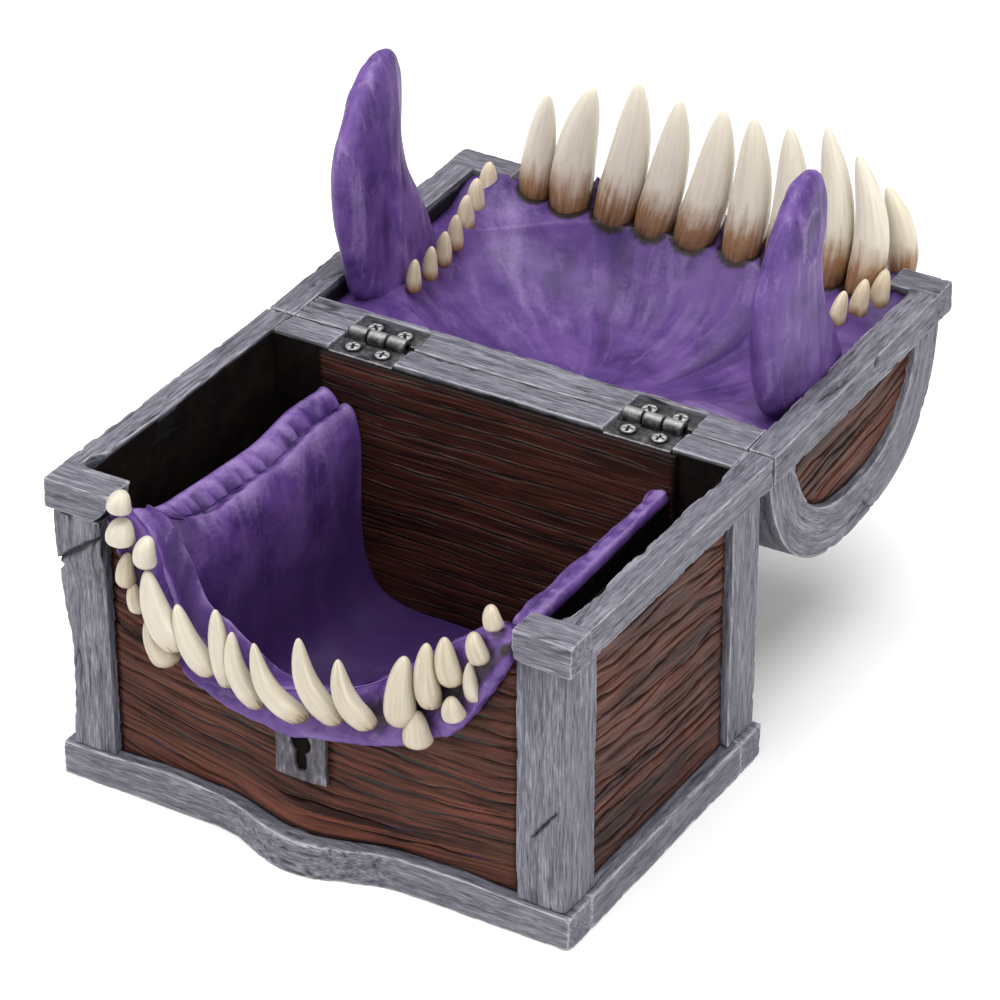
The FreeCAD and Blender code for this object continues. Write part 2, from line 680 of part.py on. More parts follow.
planks = barrel_slab(relief, -frame_inner, frame_inner)
planks = planks.cut(barrel_slab(relief + shell, -frame_inner - 1, frame_inner + 1))
third = size("lid_reach") / 3
stave_spans = {
    "lid_back_planks": (-5, third * 0.8),
    "lid_crown_planks": (third * 0.8, third * 2.2),
    "lid_front_planks": (third * 2.2, 90),
}
for label, (low, high) in stave_spans.items():
    zone = block_shape((-60, 60), (low, high), (-60, 5))
    keep(solid(label.title().replace("_", ""), planks.common(zone), True), label)


def ellipsoid(half_width, half_reach, depth, centre):
    """Ellipsoid about a centre in the lid's frame."""
    matrix = FreeCAD.Matrix()
    matrix.scale(half_width, half_reach, depth)
    shape = Part.makeSphere(1.0).transformGeometry(matrix)
    shape.translate(centre)
    return shape


def palate_shape():
    """Shallow bowl of flesh with a flat surround that reaches the rails."""
    top = -size("palate_rise")
    gauge = size("palate_gauge")
    side = size("chest_width") / 2 - size("lid_side_rail")
    back = size("lid_back_rail")
    front = size("lid_reach") - size("lid_front_rail")
    centre = Vector(0, (back + front) / 2, top)
    wide = size("bowl_half_width")
    long = size("bowl_half_reach")
    deep = size("bowl_depth")
    surround = block_shape((-side, side), (back, front), (rail_under, top))
    outer = ellipsoid(wide + gauge, long + gauge, deep + gauge, centre)
    outer = outer.common(block_shape((-side, side), (back, front), (-deep - 2 * gauge + top, top)))
    return surround.fuse(outer).cut(ellipsoid(wide, long, deep, centre))


keep(solid("Palate", palate_shape(), True), "lid_palate")


def upper_gum_shape():
    """Gum along the lid's front edge between the end blocks, with a root for the last fang."""
    front = size("lid_reach")
    back = front - size("lid_front_rail")
    crest = -2.6
    set_back = 1.0
    right = size("right_block_inner") + 1.5
    ridge = block_shape((-size("left_block_inner"), right), (back, front - set_back),
                        (rail_under, crest))
    root = block_shape((right - 6.5, right), (front - set_back, front + 5.8),
                       (rail_under - 4, crest))
    return ridge.fuse(root).removeSplitter()


keep(solid("UpperGum", upper_gum_shape(), True), "upper_gum")

# Upper fangs: x and rise of root, x and rise of tip, radius, reach of the root, lean back
# towards the hinge. The lean lets each tip swing past the lip as the lid shuts.
UPPER_FANGS = [
    (-37.6, -4.0, -32.8, 23.4, 3.5, 71.0, 1.0), (-28.8, -5.2, -22.1, 27.4, 4.6, 70.6, 0.0),
    (-18.3, -5.2, -11.0, 31.4, 4.6, 70.5, 0.0), (-8.8, -5.2, -1.2, 29.8, 4.2, 70.6, 0.0),
    (0.8, -5.2, 9.0, 30.2, 4.5, 70.6, 0.0), (12.6, -5.2, 16.6, 30.8, 4.3, 70.6, 1.0),
    (22.9, -4.6, 25.3, 31.4, 4.0, 69.8, 1.2), (33.6, -4.4, 34.2, 34.2, 3.9, 69.4, 1.6),
    (41.5, -4.4, 41.4, 29.8, 3.7, 69.4, 1.6), (44.6, -6.0, 41.0, 14.9, 3.3, 82.8, 0.0),
]
rows = [((x0, reach, rise0), (x1, reach - lean, rise1), radius)
        for x0, rise0, x1, rise1, radius, reach, lean in UPPER_FANGS]
keep(solid("UpperFangs", teeth(rows), True), "upper_fangs")


# Pegs along the lid's sides: x and reach of each root, from the hinge outwards.
LEFT_PEGS = [(-40.6, 27.1), (-40.2, 33.0), (-40.8, 39.4), (-42.2, 46.2), (-44.4, 54.2),
             (-46.1, 61.1), (-47.3, 68.2)]
RIGHT_PEGS = [(41.2, 50.4), (43.0, 56.2), (45.0, 61.8), (47.2, 66.6)]


def peg_row(places, root_rise, lean):
    """Pegs that grow from the first place to the last, their tips leaning over."""
    rows = []
    for index, (x, reach) in enumerate(places):
        radius = 1.5 + 0.7 * index / (len(places) - 1)
        tip = (x + lean[0], reach + lean[1], root_rise + 5.0 + 2.2 * radius)
        rows.append(((x, reach, root_rise), tip, radius))
    return teeth(rows)


keep(solid("LeftSmallTeeth", peg_row(LEFT_PEGS, -5.6, (0.6, 0.0)), True),
     "lid_left_small_teeth")
keep(solid("RightSmallTeeth", peg_row(RIGHT_PEGS, -5.3, (1.2, 1.6)), True),
     "lid_right_small_teeth")


def horn_shape(side):
    """Tall fin of flesh leaning forward: a loft of ovals whose long side runs along the reach."""
    stations = (                     # rise, distance out, reach, half width, half reach
        (-4.9, 47.6, 32.6, 4.4, 14.2),
        (1.0, 47.6, 29.8, 4.5, 15.2),
        (9.0, 47.6, 26.8, 4.5, 14.6),
        (21.0, 47.9, 23.6, 4.3, 12.6),
        (34.0, 48.6, 25.6, 3.8, 11.2),
        (42.0, 49.5, 28.6, 3.0, 8.0),
        (46.4, 50.0, 30.6, 1.4, 3.4),
    )
    wires = []
    for rise, out, reach, half_out, half_reach in stations:
        centre = Vector(side * out, reach, rise)
        tip_of_long = Vector(centre.x, centre.y + half_reach, centre.z)
        tip_of_short = Vector(centre.x + half_out, centre.y, centre.z)
        wires.append(Part.Wire([Part.Ellipse(tip_of_long, tip_of_short, centre).toShape()]))
    return Part.makeLoft(wires, True, False)


for side, word in ((-1, "left"), (1, "right")):
    keep(solid(word.title() + "Horn", horn_shape(side), True), word + "_horn")

# ---------------------------------------------------------------- checks and export
doc.recompute()
for item in doc.Objects:
    if "Invalid" in item.State or "Error" in item.State:
        raise RuntimeError("%s is %s" % (item.Label, item.State))
for item in nodes:
    shape = item.Shape
    if shape.isNull() or not shape.isValid() or shape.Volume <= 0:
        raise RuntimeError("%s has no valid solid" % item.Label)
for item in nodes:
    item.Shape.exportStep("parts/%s.step" % item.Label)
    limits = item.Shape.BoundBox
    print("%-24s %8.0f mm3  x %6.1f %6.1f  y %6.1f %6.1f  z %6.1f %6.1f" % (
        item.Label, item.Shape.Volume, limits.XMin, limits.XMax, limits.YMin, limits.YMax,
        limits.ZMin, limits.ZMax))
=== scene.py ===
import json
import math

import bpy
import numpy as np
from mathutils import Euler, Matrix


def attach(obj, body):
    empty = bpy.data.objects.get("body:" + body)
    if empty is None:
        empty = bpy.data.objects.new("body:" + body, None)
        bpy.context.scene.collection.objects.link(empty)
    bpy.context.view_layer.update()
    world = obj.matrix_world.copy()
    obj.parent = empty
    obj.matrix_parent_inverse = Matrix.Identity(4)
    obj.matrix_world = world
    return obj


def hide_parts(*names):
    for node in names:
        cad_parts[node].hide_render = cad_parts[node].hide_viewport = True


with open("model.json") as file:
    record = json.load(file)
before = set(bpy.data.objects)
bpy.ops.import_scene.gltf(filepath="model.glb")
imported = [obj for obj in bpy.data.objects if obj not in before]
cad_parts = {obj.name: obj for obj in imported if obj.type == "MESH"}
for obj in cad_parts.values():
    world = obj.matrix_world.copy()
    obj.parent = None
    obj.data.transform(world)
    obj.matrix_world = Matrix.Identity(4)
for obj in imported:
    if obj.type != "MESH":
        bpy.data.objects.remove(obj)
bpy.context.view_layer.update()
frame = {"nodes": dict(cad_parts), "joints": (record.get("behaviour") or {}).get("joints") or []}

# Looks of the chest-shaped dice box. Lengths are in millimetres until a mesh is made.
# Chest pieces are drawn in the row frame (x, y, z). Lid pieces are drawn in the lid's own frame
# (x, reach, rise): reach runs from the hinge axis to the far edge, rise is up from the rim.

MM = 0.001
JOINT = frame["joints"][0]
AXIS_Y = JOINT["pos_m"][1] / MM
AXIS_Z = JOINT["pos_m"][2] / MM
TILT = math.radians(180.0 - JOINT["range_deg"][1])
LIFT = 0.15                      # half of the gap left between the rims when shut


def to_world(points):
    """Lid frame to row frame."""
    x, reach, rise = np.asarray(points, float).T
    y = AXIS_Y + reach * math.cos(TILT) - rise * math.sin(TILT)
    z = AXIS_Z + reach * math.sin(TILT) + rise * math.cos(TILT)
    return np.stack([x, y, z], 1)


def to_lid(points):
    """Row frame to lid frame."""
    x, y, z = np.asarray(points, float).T
    y = y - AXIS_Y
    z = z - AXIS_Z
    reach = y * math.cos(TILT) + z * math.sin(TILT)
    rise = -y * math.sin(TILT) + z * math.cos(TILT)
    return np.stack([x, reach, rise], 1)


def node_points(node):
    mesh = frame["nodes"][node].data
    flat = np.empty(len(mesh.vertices) * 3)
    mesh.vertices.foreach_get("co", flat)
    return flat.reshape(-1, 3) / MM


def span(node, on_lid=False):
    """Lowest and highest corner of a CAD node, in its body's own frame."""
    points = node_points(node)
    if on_lid:
        points = to_lid(points)
    return points.min(0), points.max(0)


# ---------------------------------------------------------------- noise
TABLE = np.random.RandomState(11).permutation(256)
SLOPES = np.random.RandomState(12).normal(size=(256, 3))
SLOPES /= np.linalg.norm(SLOPES, axis=1)[:, None]


def noise(points, seed=0):
    """Gradient noise, about -1 to 1, for an array of points."""
    points = np.asarray(points, float) + seed * 17.31
    cell = np.floor(points).astype(int)
    part = points - cell
    fade = part ** 3 * (part * (part * 6 - 15) + 10)
    total = np.zeros(len(points))
    for corner in range(8):
        step = np.array([(corner >> 2) & 1, (corner >> 1) & 1, corner & 1])
        where = (cell + step) & 255
        code = TABLE[(TABLE[(TABLE[where[:, 0]] + where[:, 1]) & 255] + where[:, 2]) & 255]
        value = ((part - step) * SLOPES[code]).sum(1)
        weight = np.where(step == 1, fade, 1 - fade).prod(1)
        total += value * weight
    return total * 1.6


def layered(points, seed=0, layers=3):
    """Noise summed over finer and finer layers."""
    total = np.zeros(len(points))
    for layer in range(layers):
        total += noise(np.asarray(points) * 2 ** layer, seed + layer) / 2 ** layer
    return total


def stack(*columns):
    """Columns of numbers side by side, single numbers repeated."""
    return np.stack(np.broadcast_arrays(*columns), -1).astype(float)


def smooth_step(values, low, high):
    part = np.clip((values - low) / (high - low), 0, 1)
    return part * part * (3 - 2 * part)


def through(keys, at):
    """Catmull-Rom interpolation of rows of keys at positions 0 to len(keys) - 1."""
    keys = np.asarray(keys, float)
    at = np.clip(np.asarray(at, float), 0, len(keys) - 1 - 1e-9)
    base = np.floor(at).astype(int)
    part = (at - base)
    part = part.reshape(part.shape + (1,) * (keys.ndim - 1))
    last = len(keys) - 1
    p0 = keys[np.clip(base - 1, 0, last)]
    p1 = keys[base]
    p2 = keys[np.clip(base + 1, 0, last)]
    p3 = keys[np.clip(base + 2, 0, last)]
    return 0.5 * (2 * p1 + (p2 - p0) * part + (2 * p0 - 5 * p1 + 4 * p2 - p3) * part ** 2
                  + (3 * p1 - p0 - 3 * p2 + p3) * part ** 3)


# ---------------------------------------------------------------- meshes
def sheet_faces(rows, cols, wrap=False):
    """Quads of a grid whose points are stored row by row."""
    wide = cols if wrap else cols - 1
    row, col = np.meshgrid(np.arange(rows - 1), np.arange(wide), indexing="ij")
    after = (col + 1) % cols
    quads = np.stack([row * cols + col, row * cols + after,
                      (row + 1) * cols + after, (row + 1) * cols + col], -1)
    return quads.reshape(-1, 4)


def normals_of(points, quads):
    across = np.cross(points[quads[:, 2]] - points[quads[:, 0]],
                      points[quads[:, 3]] - points[quads[:, 1]])
    total = np.zeros_like(points)
    for corner in range(4):
        for axis in range(3):
            total[:, axis] += np.bincount(quads[:, corner], across[:, axis], len(points))
    return total / np.maximum(np.linalg.norm(total, axis=1), 1e-9)[:, None]


def outward(points, quads):
    """The quads of a closed skin, turned so that their normals point out."""
    a, b, c, d = (points[quads[:, corner]] for corner in range(4))
    volume = (np.einsum("ij,ij->i", a, np.cross(b, c)) + np.einsum("ij,ij->i", a, np.cross(c, d)))
    return quads if volume.sum() > 0 else quads[:, ::-1]


def tube_faces(points, rows, count):
    """Faces of a tube made of rings, closed at both ends and turned outwards."""
    quads = sheet_faces(rows, count, True)
    first = list(range(count))
    last = list(range((rows - 1) * count, rows * count))
    turned = outward(points - points.mean(0), quads)
    if turned is quads:
        return turned, [first[::-1], last]
    return turned, [first, last[::-1]]


def relax(values, quads, rounds, share=0.5):
    """Move each point's value towards its neighbours' mean."""
    pairs = np.concatenate([quads[:, [0, 1]], quads[:, [1, 2]], quads[:, [2, 3]],
                            quads[:, [3, 0]]])
    pairs = np.unique(np.sort(pairs, 1), axis=0)
    count = np.bincount(pairs.ravel(), minlength=len(values))[:, None]
    values = values.reshape(len(values), -1)
    for _ in range(rounds):
        total = np.zeros_like(values)
        for axis in range(values.shape[1]):
            total[:, axis] += np.bincount(pairs[:, 0], values[pairs[:, 1], axis], len(values))
            total[:, axis] += np.bincount(pairs[:, 1], values[pairs[:, 0], axis], len(values))
        values = values + share * (total / count - values)
    return values


def closed_section(loop, count):
    """Smooth closed curve through the rows of a loop, read at evenly spaced positions."""
    at = np.arange(count) * len(loop) / count
    return through([loop[-1]] + loop + loop[:2], at + 1)


def divided(outline, step):
    """A closed outline with points added so that they lie about one step apart."""
    points = []
    for (x0, y0), (x1, y1) in zip(outline, outline[1:] + outline[:1]):
        count = max(1, int(math.hypot(x1 - x0, y1 - y0) / step))
        points += [(x0 + (x1 - x0) * part, y0 + (y1 - y0) * part)
                   for part in np.arange(count) / count]
    return np.array(points)


def skirt(rows, cols):
    """Outer ring of a grid, and the quads that join it to a second ring stored after it."""
    ring = np.concatenate([np.arange(cols), np.arange(1, rows) * cols + cols - 1,
                           (rows - 1) * cols + np.arange(cols - 2, -1, -1),
                           np.arange(rows - 2, 0, -1) * cols])
    base = rows * cols
    here = np.arange(len(ring))
    after = np.roll(here, -1)
    return ring, np.stack([ring, base + here, base + after, ring[after]], 1)


def put_in_scene(name, data):
    """A new object that shows a mesh, curve, lamp or camera."""
    placed = bpy.data.objects.new(name, data)
    bpy.context.scene.collection.objects.link(placed)
    return placed


class Skin:
    """A growing mesh: points in mm, faces, and values kept at each point."""

    def __init__(self):
        self.points = []
        self.faces = []
        self.values = {}
        self.count = 0

    def add(self, points, faces, **values):
        """Add a patch; faces is a list of index lists or an array of quads."""
        for group in faces:
            self.faces += (np.asarray(group) + self.count).tolist()
        for key, value in values.items():
            kept = self.values.setdefault(key, [])
            wide = np.ndim(value) > 1
            missing = self.count - sum(len(part) for part in kept)
            if missing:
                kept.append(np.zeros((missing, 3)) if wide else np.zeros(missing))
            kept.append(np.asarray(value, float))
        self.points.append(points)
        self.count += len(points)

    def build(self, name, body, material, nodes=(), on_lid=False, flat=False):
        points = np.concatenate(self.points)
        if on_lid:
            points = to_world(points)
        mesh = bpy.data.meshes.new(name)
        mesh.from_pydata((points * MM).tolist(), [], self.faces)
        for key, kept in self.values.items():
            missing = self.count - sum(len(part) for part in kept)
            kept.append(np.zeros((missing,) + kept[0].shape[1:]))
            value = np.concatenate(kept)
            kind = "FLOAT_VECTOR" if value.ndim > 1 else "FLOAT"
            layer = mesh.attributes.new(key, kind, "POINT")
            layer.data.foreach_set("vector" if value.ndim > 1 else "value", value.ravel())
        if not flat:
            mesh.shade_smooth()
        mesh.update()
        mesh.materials.append(material)
        piece = put_in_scene(name, mesh)
        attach(piece, body)
        if nodes:
            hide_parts(*nodes)
        return piece


# ---------------------------------------------------------------- materials
class Shader:
    """A Principled material with short calls for the nodes that feed it."""

    def __init__(self, name, roughness=0.5, coat=0.0, specular=0.5, metallic=0.0):
        self.material = bpy.data.materials.new(name)
        self.material.use_nodes = True
        self.tree = self.material.node_tree
        self.surface = self.tree.nodes["Principled BSDF"]
        self.surface.inputs["Roughness"].default_value = roughness
        self.surface.inputs["Coat Weight"].default_value = coat
        self.surface.inputs["Coat Roughness"].default_value = 0.12
        self.surface.inputs["Specular IOR Level"].default_value = specular
        self.surface.inputs["Metallic"].default_value = metallic

    def put(self, socket, value):
        if isinstance(value, bpy.types.NodeSocket):
            self.tree.links.new(value, socket)
        else:
            socket.default_value = value

    def value(self, name, output="Fac"):
        node = self.tree.nodes.new("ShaderNodeAttribute")
        node.attribute_name = name
        return node.outputs[output]

    def vector(self, name):
        return self.value(name, "Vector")

    def place(self):
        return self.tree.nodes.new("ShaderNodeTexCoord").outputs["Object"]

    def stretch(self, vector, x, y, z):
        node = self.tree.nodes.new("ShaderNodeMapping")
        self.put(node.inputs["Vector"], vector)
        node.inputs["Scale"].default_value = (x, y, z)
        return node.outputs[0]

    def noise(self, vector, scale, detail=4.0, rough=0.6, bend=0.0):
        node = self.tree.nodes.new("ShaderNodeTexNoise")
        self.put(node.inputs["Vector"], vector)
        node.inputs["Scale"].default_value = scale
        node.inputs["Detail"].default_value = detail
        node.inputs["Roughness"].default_value = rough
        node.inputs["Distortion"].default_value = bend
        return node.outputs[0]

    def ramp(self, factor, *stops):
        node = self.tree.nodes.new("ShaderNodeValToRGB")
        self.put(node.inputs[0], factor)
        elements = node.color_ramp.elements
        while len(elements) < len(stops):
            elements.new(0.5)
        for element, (place, colour) in zip(elements, stops):
            element.position = place
            if isinstance(colour, (int, float)):
                colour = (colour, colour, colour)
            element.color = (*colour, 1.0)
        return node.outputs[0]

    def mix(self, factor, first, second, blend="MIX"):
        node = self.tree.nodes.new("ShaderNodeMixRGB")
        node.blend_type = blend
        self.put(node.inputs[0], factor)
        for socket, colour in ((node.inputs[1], first), (node.inputs[2], second)):
            self.put(socket, (*colour, 1.0) if isinstance(colour, tuple) else colour)
        return node.outputs[0]

    def sum(self, kind, first, second, clamp=False):
        node = self.tree.nodes.new("ShaderNodeMath")
        node.operation = kind
        node.use_clamp = clamp
        self.put(node.inputs[0], first)
        self.put(node.inputs[1], second)
        return node.outputs[0]

    def blend(self, first, share, second, other_share):
        """Two values added, each multiplied by its share."""
        return self.sum("ADD", self.sum("MULTIPLY", first, share),
                        self.sum("MULTIPLY", second, other_share))

    def bump(self, height, depth, under=None):
        node = self.tree.nodes.new("ShaderNodeBump")
        node.inputs["Distance"].default_value = depth * MM
        self.put(node.inputs["Height"], height)
        if under is not None:
            self.put(node.inputs["Normal"], under)
        return node.outputs[0]

    def finish(self, colour, normal=None, roughness=None):
        self.put(self.surface.inputs["Base Color"], colour)
        if normal is not None:
            self.put(self.surface.inputs["Normal"], normal)
        if roughness is not None:
            self.put(self.surface.inputs["Roughness"], roughness)
        return self.material


# Near-black painted shade for surfaces that face into the chest's cavities and slots.
SHADE_BLACK = (0.0030, 0.0026, 0.0028)


def grey_timber():
    """Weathered grey paint: black wash in the fibres, darker in splits, cracks and concave
    corners, pale dry brush on the edges, black painted shade facing a cavity.
    """
    s = Shader("grey_timber", 0.55, specular=0.3)
    grain = s.vector("grain")
    fine = s.noise(s.stretch(grain, 0.075, 1.0, 1.0), 3.0, 5.0, 0.62, 0.35)
    broad = s.noise(s.stretch(grain, 0.07, 1.0, 1.0), 0.75, 3.0, 0.55, 0.5)
    patch = s.noise(s.stretch(grain, 0.4, 1.0, 1.0), 0.14, 3.0, 0.5)
    both = s.blend(fine, 0.62, broad, 0.38)
    colour = s.ramp(both, (0.37, (0.022, 0.021, 0.028)), (0.45, (0.080, 0.078, 0.098)),
                    (0.52, (0.128, 0.125, 0.152)), (0.60, (0.205, 0.203, 0.240)),
                    (0.68, (0.330, 0.330, 0.370)))
    colour = s.mix(s.ramp(patch, (0.40, 0.0), (0.68, 0.45)), colour, (0.085, 0.082, 0.105))
    scratch = s.noise(s.stretch(grain, 0.06, 1.0, 1.0), 4.2, 3.0, 0.5, 0.2)
    colour = s.mix(s.ramp(scratch, (0.58, 0.0), (0.72, 0.5)), colour, (0.34, 0.34, 0.38))
    pale = s.sum("MULTIPLY", s.value("edge"), s.ramp(fine, (0.40, 0.2), (0.58, 1.0)), True)
    colour = s.mix(pale, colour, (0.42, 0.42, 0.46))
    # Near-black in the fibres, splits, cracks and concave corners.
    dark_in_grooves = s.sum("MULTIPLY", s.value("groove"), 0.94, True)
    colour = s.mix(dark_in_grooves, colour, (0.012, 0.011, 0.014))
    # Black painted shade where the timber faces a cavity.
    colour = s.mix(s.value("inside"), colour, SHADE_BLACK)
    normal = s.bump(both, 0.22)
    return s.finish(colour, normal, s.ramp(fine, (0.3, 0.66), (0.7, 0.46)))


def brown_plank(name, low, middle, high, glint_colour, olive):
    """Red-brown carved planks: dark grooves, streaks that follow the grain, painted shade along
    the frame and black painted shade on the backs.
    """
    s = Shader(name, 0.42, specular=0.1)
    grain = s.vector("grain")
    streak = s.noise(s.stretch(grain, 0.05, 1.0, 1.0), 1.5, 5.0, 0.6, 0.3)
    patch = s.noise(s.stretch(grain, 0.30, 1.0, 1.0), 0.12, 3.0, 0.55)
    mixed = s.blend(streak, 0.60, patch, 0.28)
    mixed = s.sum("ADD", mixed, s.sum("MULTIPLY", s.value("tone"), 0.10))
    colour = s.ramp(mixed, (0.32, low), (0.43, middle), (0.56, high))
    warm = s.noise(s.stretch(grain, 0.2, 1.0, 1.0), 0.22, 2.0, 0.5)
    colour = s.mix(s.ramp(warm, (0.52, 0.0), (0.70, olive)), colour, (0.078, 0.040, 0.018))
    glint = s.sum("MULTIPLY", s.value("edge"), s.ramp(streak, (0.42, 0.1), (0.60, 1.0)), True)
    colour = s.mix(glint, colour, glint_colour)
    # Near-black in the carved lines; the groove value also carries painted shade along the frame.
    colour = s.mix(s.value("groove"), colour, (0.004, 0.003, 0.003))
    # Black painted shade on the slab's back and sides.
    colour = s.mix(s.value("inside"), colour, SHADE_BLACK)
    normal = s.bump(streak, 0.12)
    return s.finish(colour, normal, s.ramp(streak, (0.35, 0.52), (0.65, 0.34)))


def flesh():
    """Violet paint with paler dry-brushed streaks, near-black hollows, and painted highlight and
    shade.
    """
    s = Shader("flesh", 0.45, coat=0.05, specular=0.25)
    grain = s.vector("grain")
    mottle = s.noise(s.place(), 0.10 / MM, 4.0, 0.6, 0.4)
    brush = s.noise(s.stretch(grain, 0.12, 1.0, 1.0), 0.50, 6.0, 0.66, 0.5)
    speck = s.noise(s.place(), 1.1 / MM, 3.0, 0.7)
    colour = s.ramp(mottle, (0.34, (0.047, 0.019, 0.115)), (0.5, (0.088, 0.040, 0.182)),
                    (0.66, (0.128, 0.064, 0.236)))
    rub = s.blend(brush, 0.75, speck, 0.25)
    rub = s.sum("ADD", rub, s.sum("MULTIPLY", s.value("edge"), 0.20))
    colour = s.mix(s.ramp(rub, (0.54, 0.0), (0.76, 0.62)), colour, (0.27, 0.185, 0.38))
    colour = s.mix(s.value("groove"), colour, (0.020, 0.008, 0.055))
    # Painted shade: the shade value darkens the flesh deep in the basin and over the palate.
    colour = s.mix(s.value("shade"), colour, (0.026, 0.010, 0.058))
    colour = s.mix(s.value("stain"), colour, (0.014, 0.008, 0.007))
    # Black painted shade where the flesh faces down into a slot.
    colour = s.mix(s.value("inside"), colour, SHADE_BLACK)
    normal = s.bump(speck, 0.10, s.bump(brush, 0.16))
    return s.finish(colour, normal, s.ramp(brush, (0.35, 0.52), (0.65, 0.36)))


def ivory(name, pale, deep_stain):
    """Ivory enamel, ochre and brown wash creeping up from the root."""
    s = Shader(name, 0.34, coat=0.2, specular=0.4)
    grain = s.vector("grain")
    streak = s.noise(s.stretch(grain, 0.08, 1.0, 1.0), 1.1, 4.0, 0.55, 0.2)
    blotch = s.noise(s.place(), 0.30 / MM, 3.0, 0.6)
    both = s.blend(streak, 0.6, s.value("tone"), 0.3)
    shades = [tuple(pale * part for part in shade) for shade in
              ((0.50, 0.40, 0.27), (0.64, 0.555, 0.42), (0.74, 0.68, 0.56))]
    colour = s.ramp(both, (0.25, shades[0]), (0.42, shades[1]), (0.62, shades[2]))
    creep = s.sum("ADD", s.value("root"), s.sum("MULTIPLY", s.sum("SUBTRACT", blotch, 0.5), 0.16))
    creep = s.sum("ADD", creep, s.sum("MULTIPLY", s.sum("SUBTRACT", streak, 0.5), 0.42))
    start = 0.80 - 0.22 * deep_stain
    colour = s.mix(s.ramp(creep, (start, 0.0), (start + 0.22, 0.45 + 0.48 * deep_stain)), colour,
                   (0.235, 0.108, 0.030))
    start = 0.93 - 0.09 * deep_stain
    colour = s.mix(s.ramp(creep, (start, 0.0), (start + 0.14, 0.8)), colour,
                   (0.050, 0.025, 0.012))
    normal = s.bump(streak, 0.05)
    return s.finish(colour, normal)


def aged_metal():
    """Antiqued steel: dark in the hollows, rubbed bright on the high spots, with painted
    highlights on screw domes and knuckle tops.
    """
    s = Shader("aged_metal", 0.42, metallic=0.6)
    dome_highlight = s.noise(s.place(), 0.9 / MM, 5.0, 0.65)
    blot = s.noise(s.place(), 0.22 / MM, 3.0, 0.6)
    colour = s.ramp(s.blend(dome_highlight, 0.5, blot, 0.5), (0.38, (0.012, 0.011, 0.012)),
                    (0.5, (0.058, 0.055, 0.060)), (0.66, (0.19, 0.185, 0.195)))
    colour = s.mix(s.value("edge"), colour, (0.52, 0.51, 0.51))
    colour = s.mix(s.value("groove"), colour, (0.008, 0.007, 0.008))
    return s.finish(colour, s.bump(dome_highlight, 0.08), s.ramp(dome_highlight, (0.35, 0.52), (0.65, 0.32)))


def brushed_plate():
    """Lock plate: dull grey paint with a pale rub."""
    s = Shader("brushed_plate", 0.5, specular=0.3, metallic=0.2)
    rub = s.noise(s.stretch(s.place(), 1.0, 1.0, 0.3), 0.8 / MM, 4.0, 0.6)
    colour = s.ramp(rub, (0.38, (0.034, 0.031, 0.038)), (0.56, (0.080, 0.075, 0.088)),
                    (0.74, (0.22, 0.22, 0.235)))
    colour = s.mix(s.value("edge"), colour, (0.40, 0.40, 0.42))
    colour = s.mix(s.value("groove"), colour, (0.02, 0.018, 0.02))
    return s.finish(colour, s.bump(rub, 0.08))


def dark_inside():
    """Matt brown-black painted shade inside the walls, in the keyhole and on the CAD nodes left
    in view.
    """
    s = Shader("dark_inside", 0.8, specular=0.06)
    spots = s.noise(s.place(), 0.20 / MM, 4.0, 0.6)
    colour = s.ramp(spots, (0.4, (0.0036, 0.0025, 0.0024)), (0.75, (0.012, 0.007, 0.006)))
    return s.finish(colour, s.bump(spots, 0.15))


GREY = grey_timber()
BROWN = brown_plank("brown_plank", (0.016, 0.006, 0.005), (0.050, 0.017, 0.012),
                    (0.108, 0.033, 0.020), (0.175, 0.085, 0.058), 0.22)
# A darker copy of the plank paint for the inner back planks: painted shade inside the mouth.
DIM_BROWN = brown_plank("dim_brown_plank", (0.014, 0.005, 0.004), (0.034, 0.010, 0.0065),
                        (0.056, 0.017, 0.011), (0.34, 0.26, 0.21), 0.05)
FLESH = flesh()
# The lower teeth use a darker copy of the ivory, 0.65 against 0.90: painted shade.
LOWER_IVORY = ivory("ivory", 0.65, 0.15)
UPPER_IVORY = ivory("stained_ivory", 0.90, 1.0)
METAL = aged_metal()
PLATE = brushed_plate()
PAINTED_SHADE = dark_inside()

# ---------------------------------------------------------------- grey timbers
FLOOR_LOW, FLOOR_HIGH = span("floor_board")
RIM_LOW, RIM_HIGH = span("rim_left_rail")
BACK_LOW, BACK_HIGH = span("rim_back_rail")
BLOCK_HIGH = span("rim_front_left_block")[1]
LID_LOW, LID_HIGH = span("lid_left_rail", True)
LID_BACK_LOW, LID_BACK_HIGH = span("lid_back_rail", True)
LID_BLOCK_LOW, LID_BLOCK_HIGH = span("lid_front_left_block", True)
CAVITY_X = FLOOR_HIGH[0]
LID_CAVITY_X = LID_BACK_HIGH[0]


def inside_chest(points):
    """1 where a surface faces the chest's cavity: black painted shade there."""
    x, y, z = points.T
    ragged = noise(points / 2.5, 5) * 0.35
    margin = 0.35
    near = ((np.abs(x) < CAVITY_X + margin) & (y > BLOCK_HIGH[1] - margin)
            & (y < BACK_LOW[1] + margin) & (z > FLOOR_LOW[2] + 1))
    return near * smooth_step(RIM_HIGH[2] - z + ragged, 0.5, 1.3)


def inside_lid(points):
    """1 on the rails' inner faces, just above the palate: black painted shade there."""
    x, reach, rise = points.T
    ragged = noise(points / 2.5, 6) * 0.35
    margin = 0.35
    near = ((np.abs(x) < LID_CAVITY_X + margin) & (reach > LID_BACK_HIGH[1] - margin)
            & (reach < LID_BLOCK_LOW[1] + margin))
    return near * smooth_step(-LIFT - rise + ragged, 1.0, 2.2)


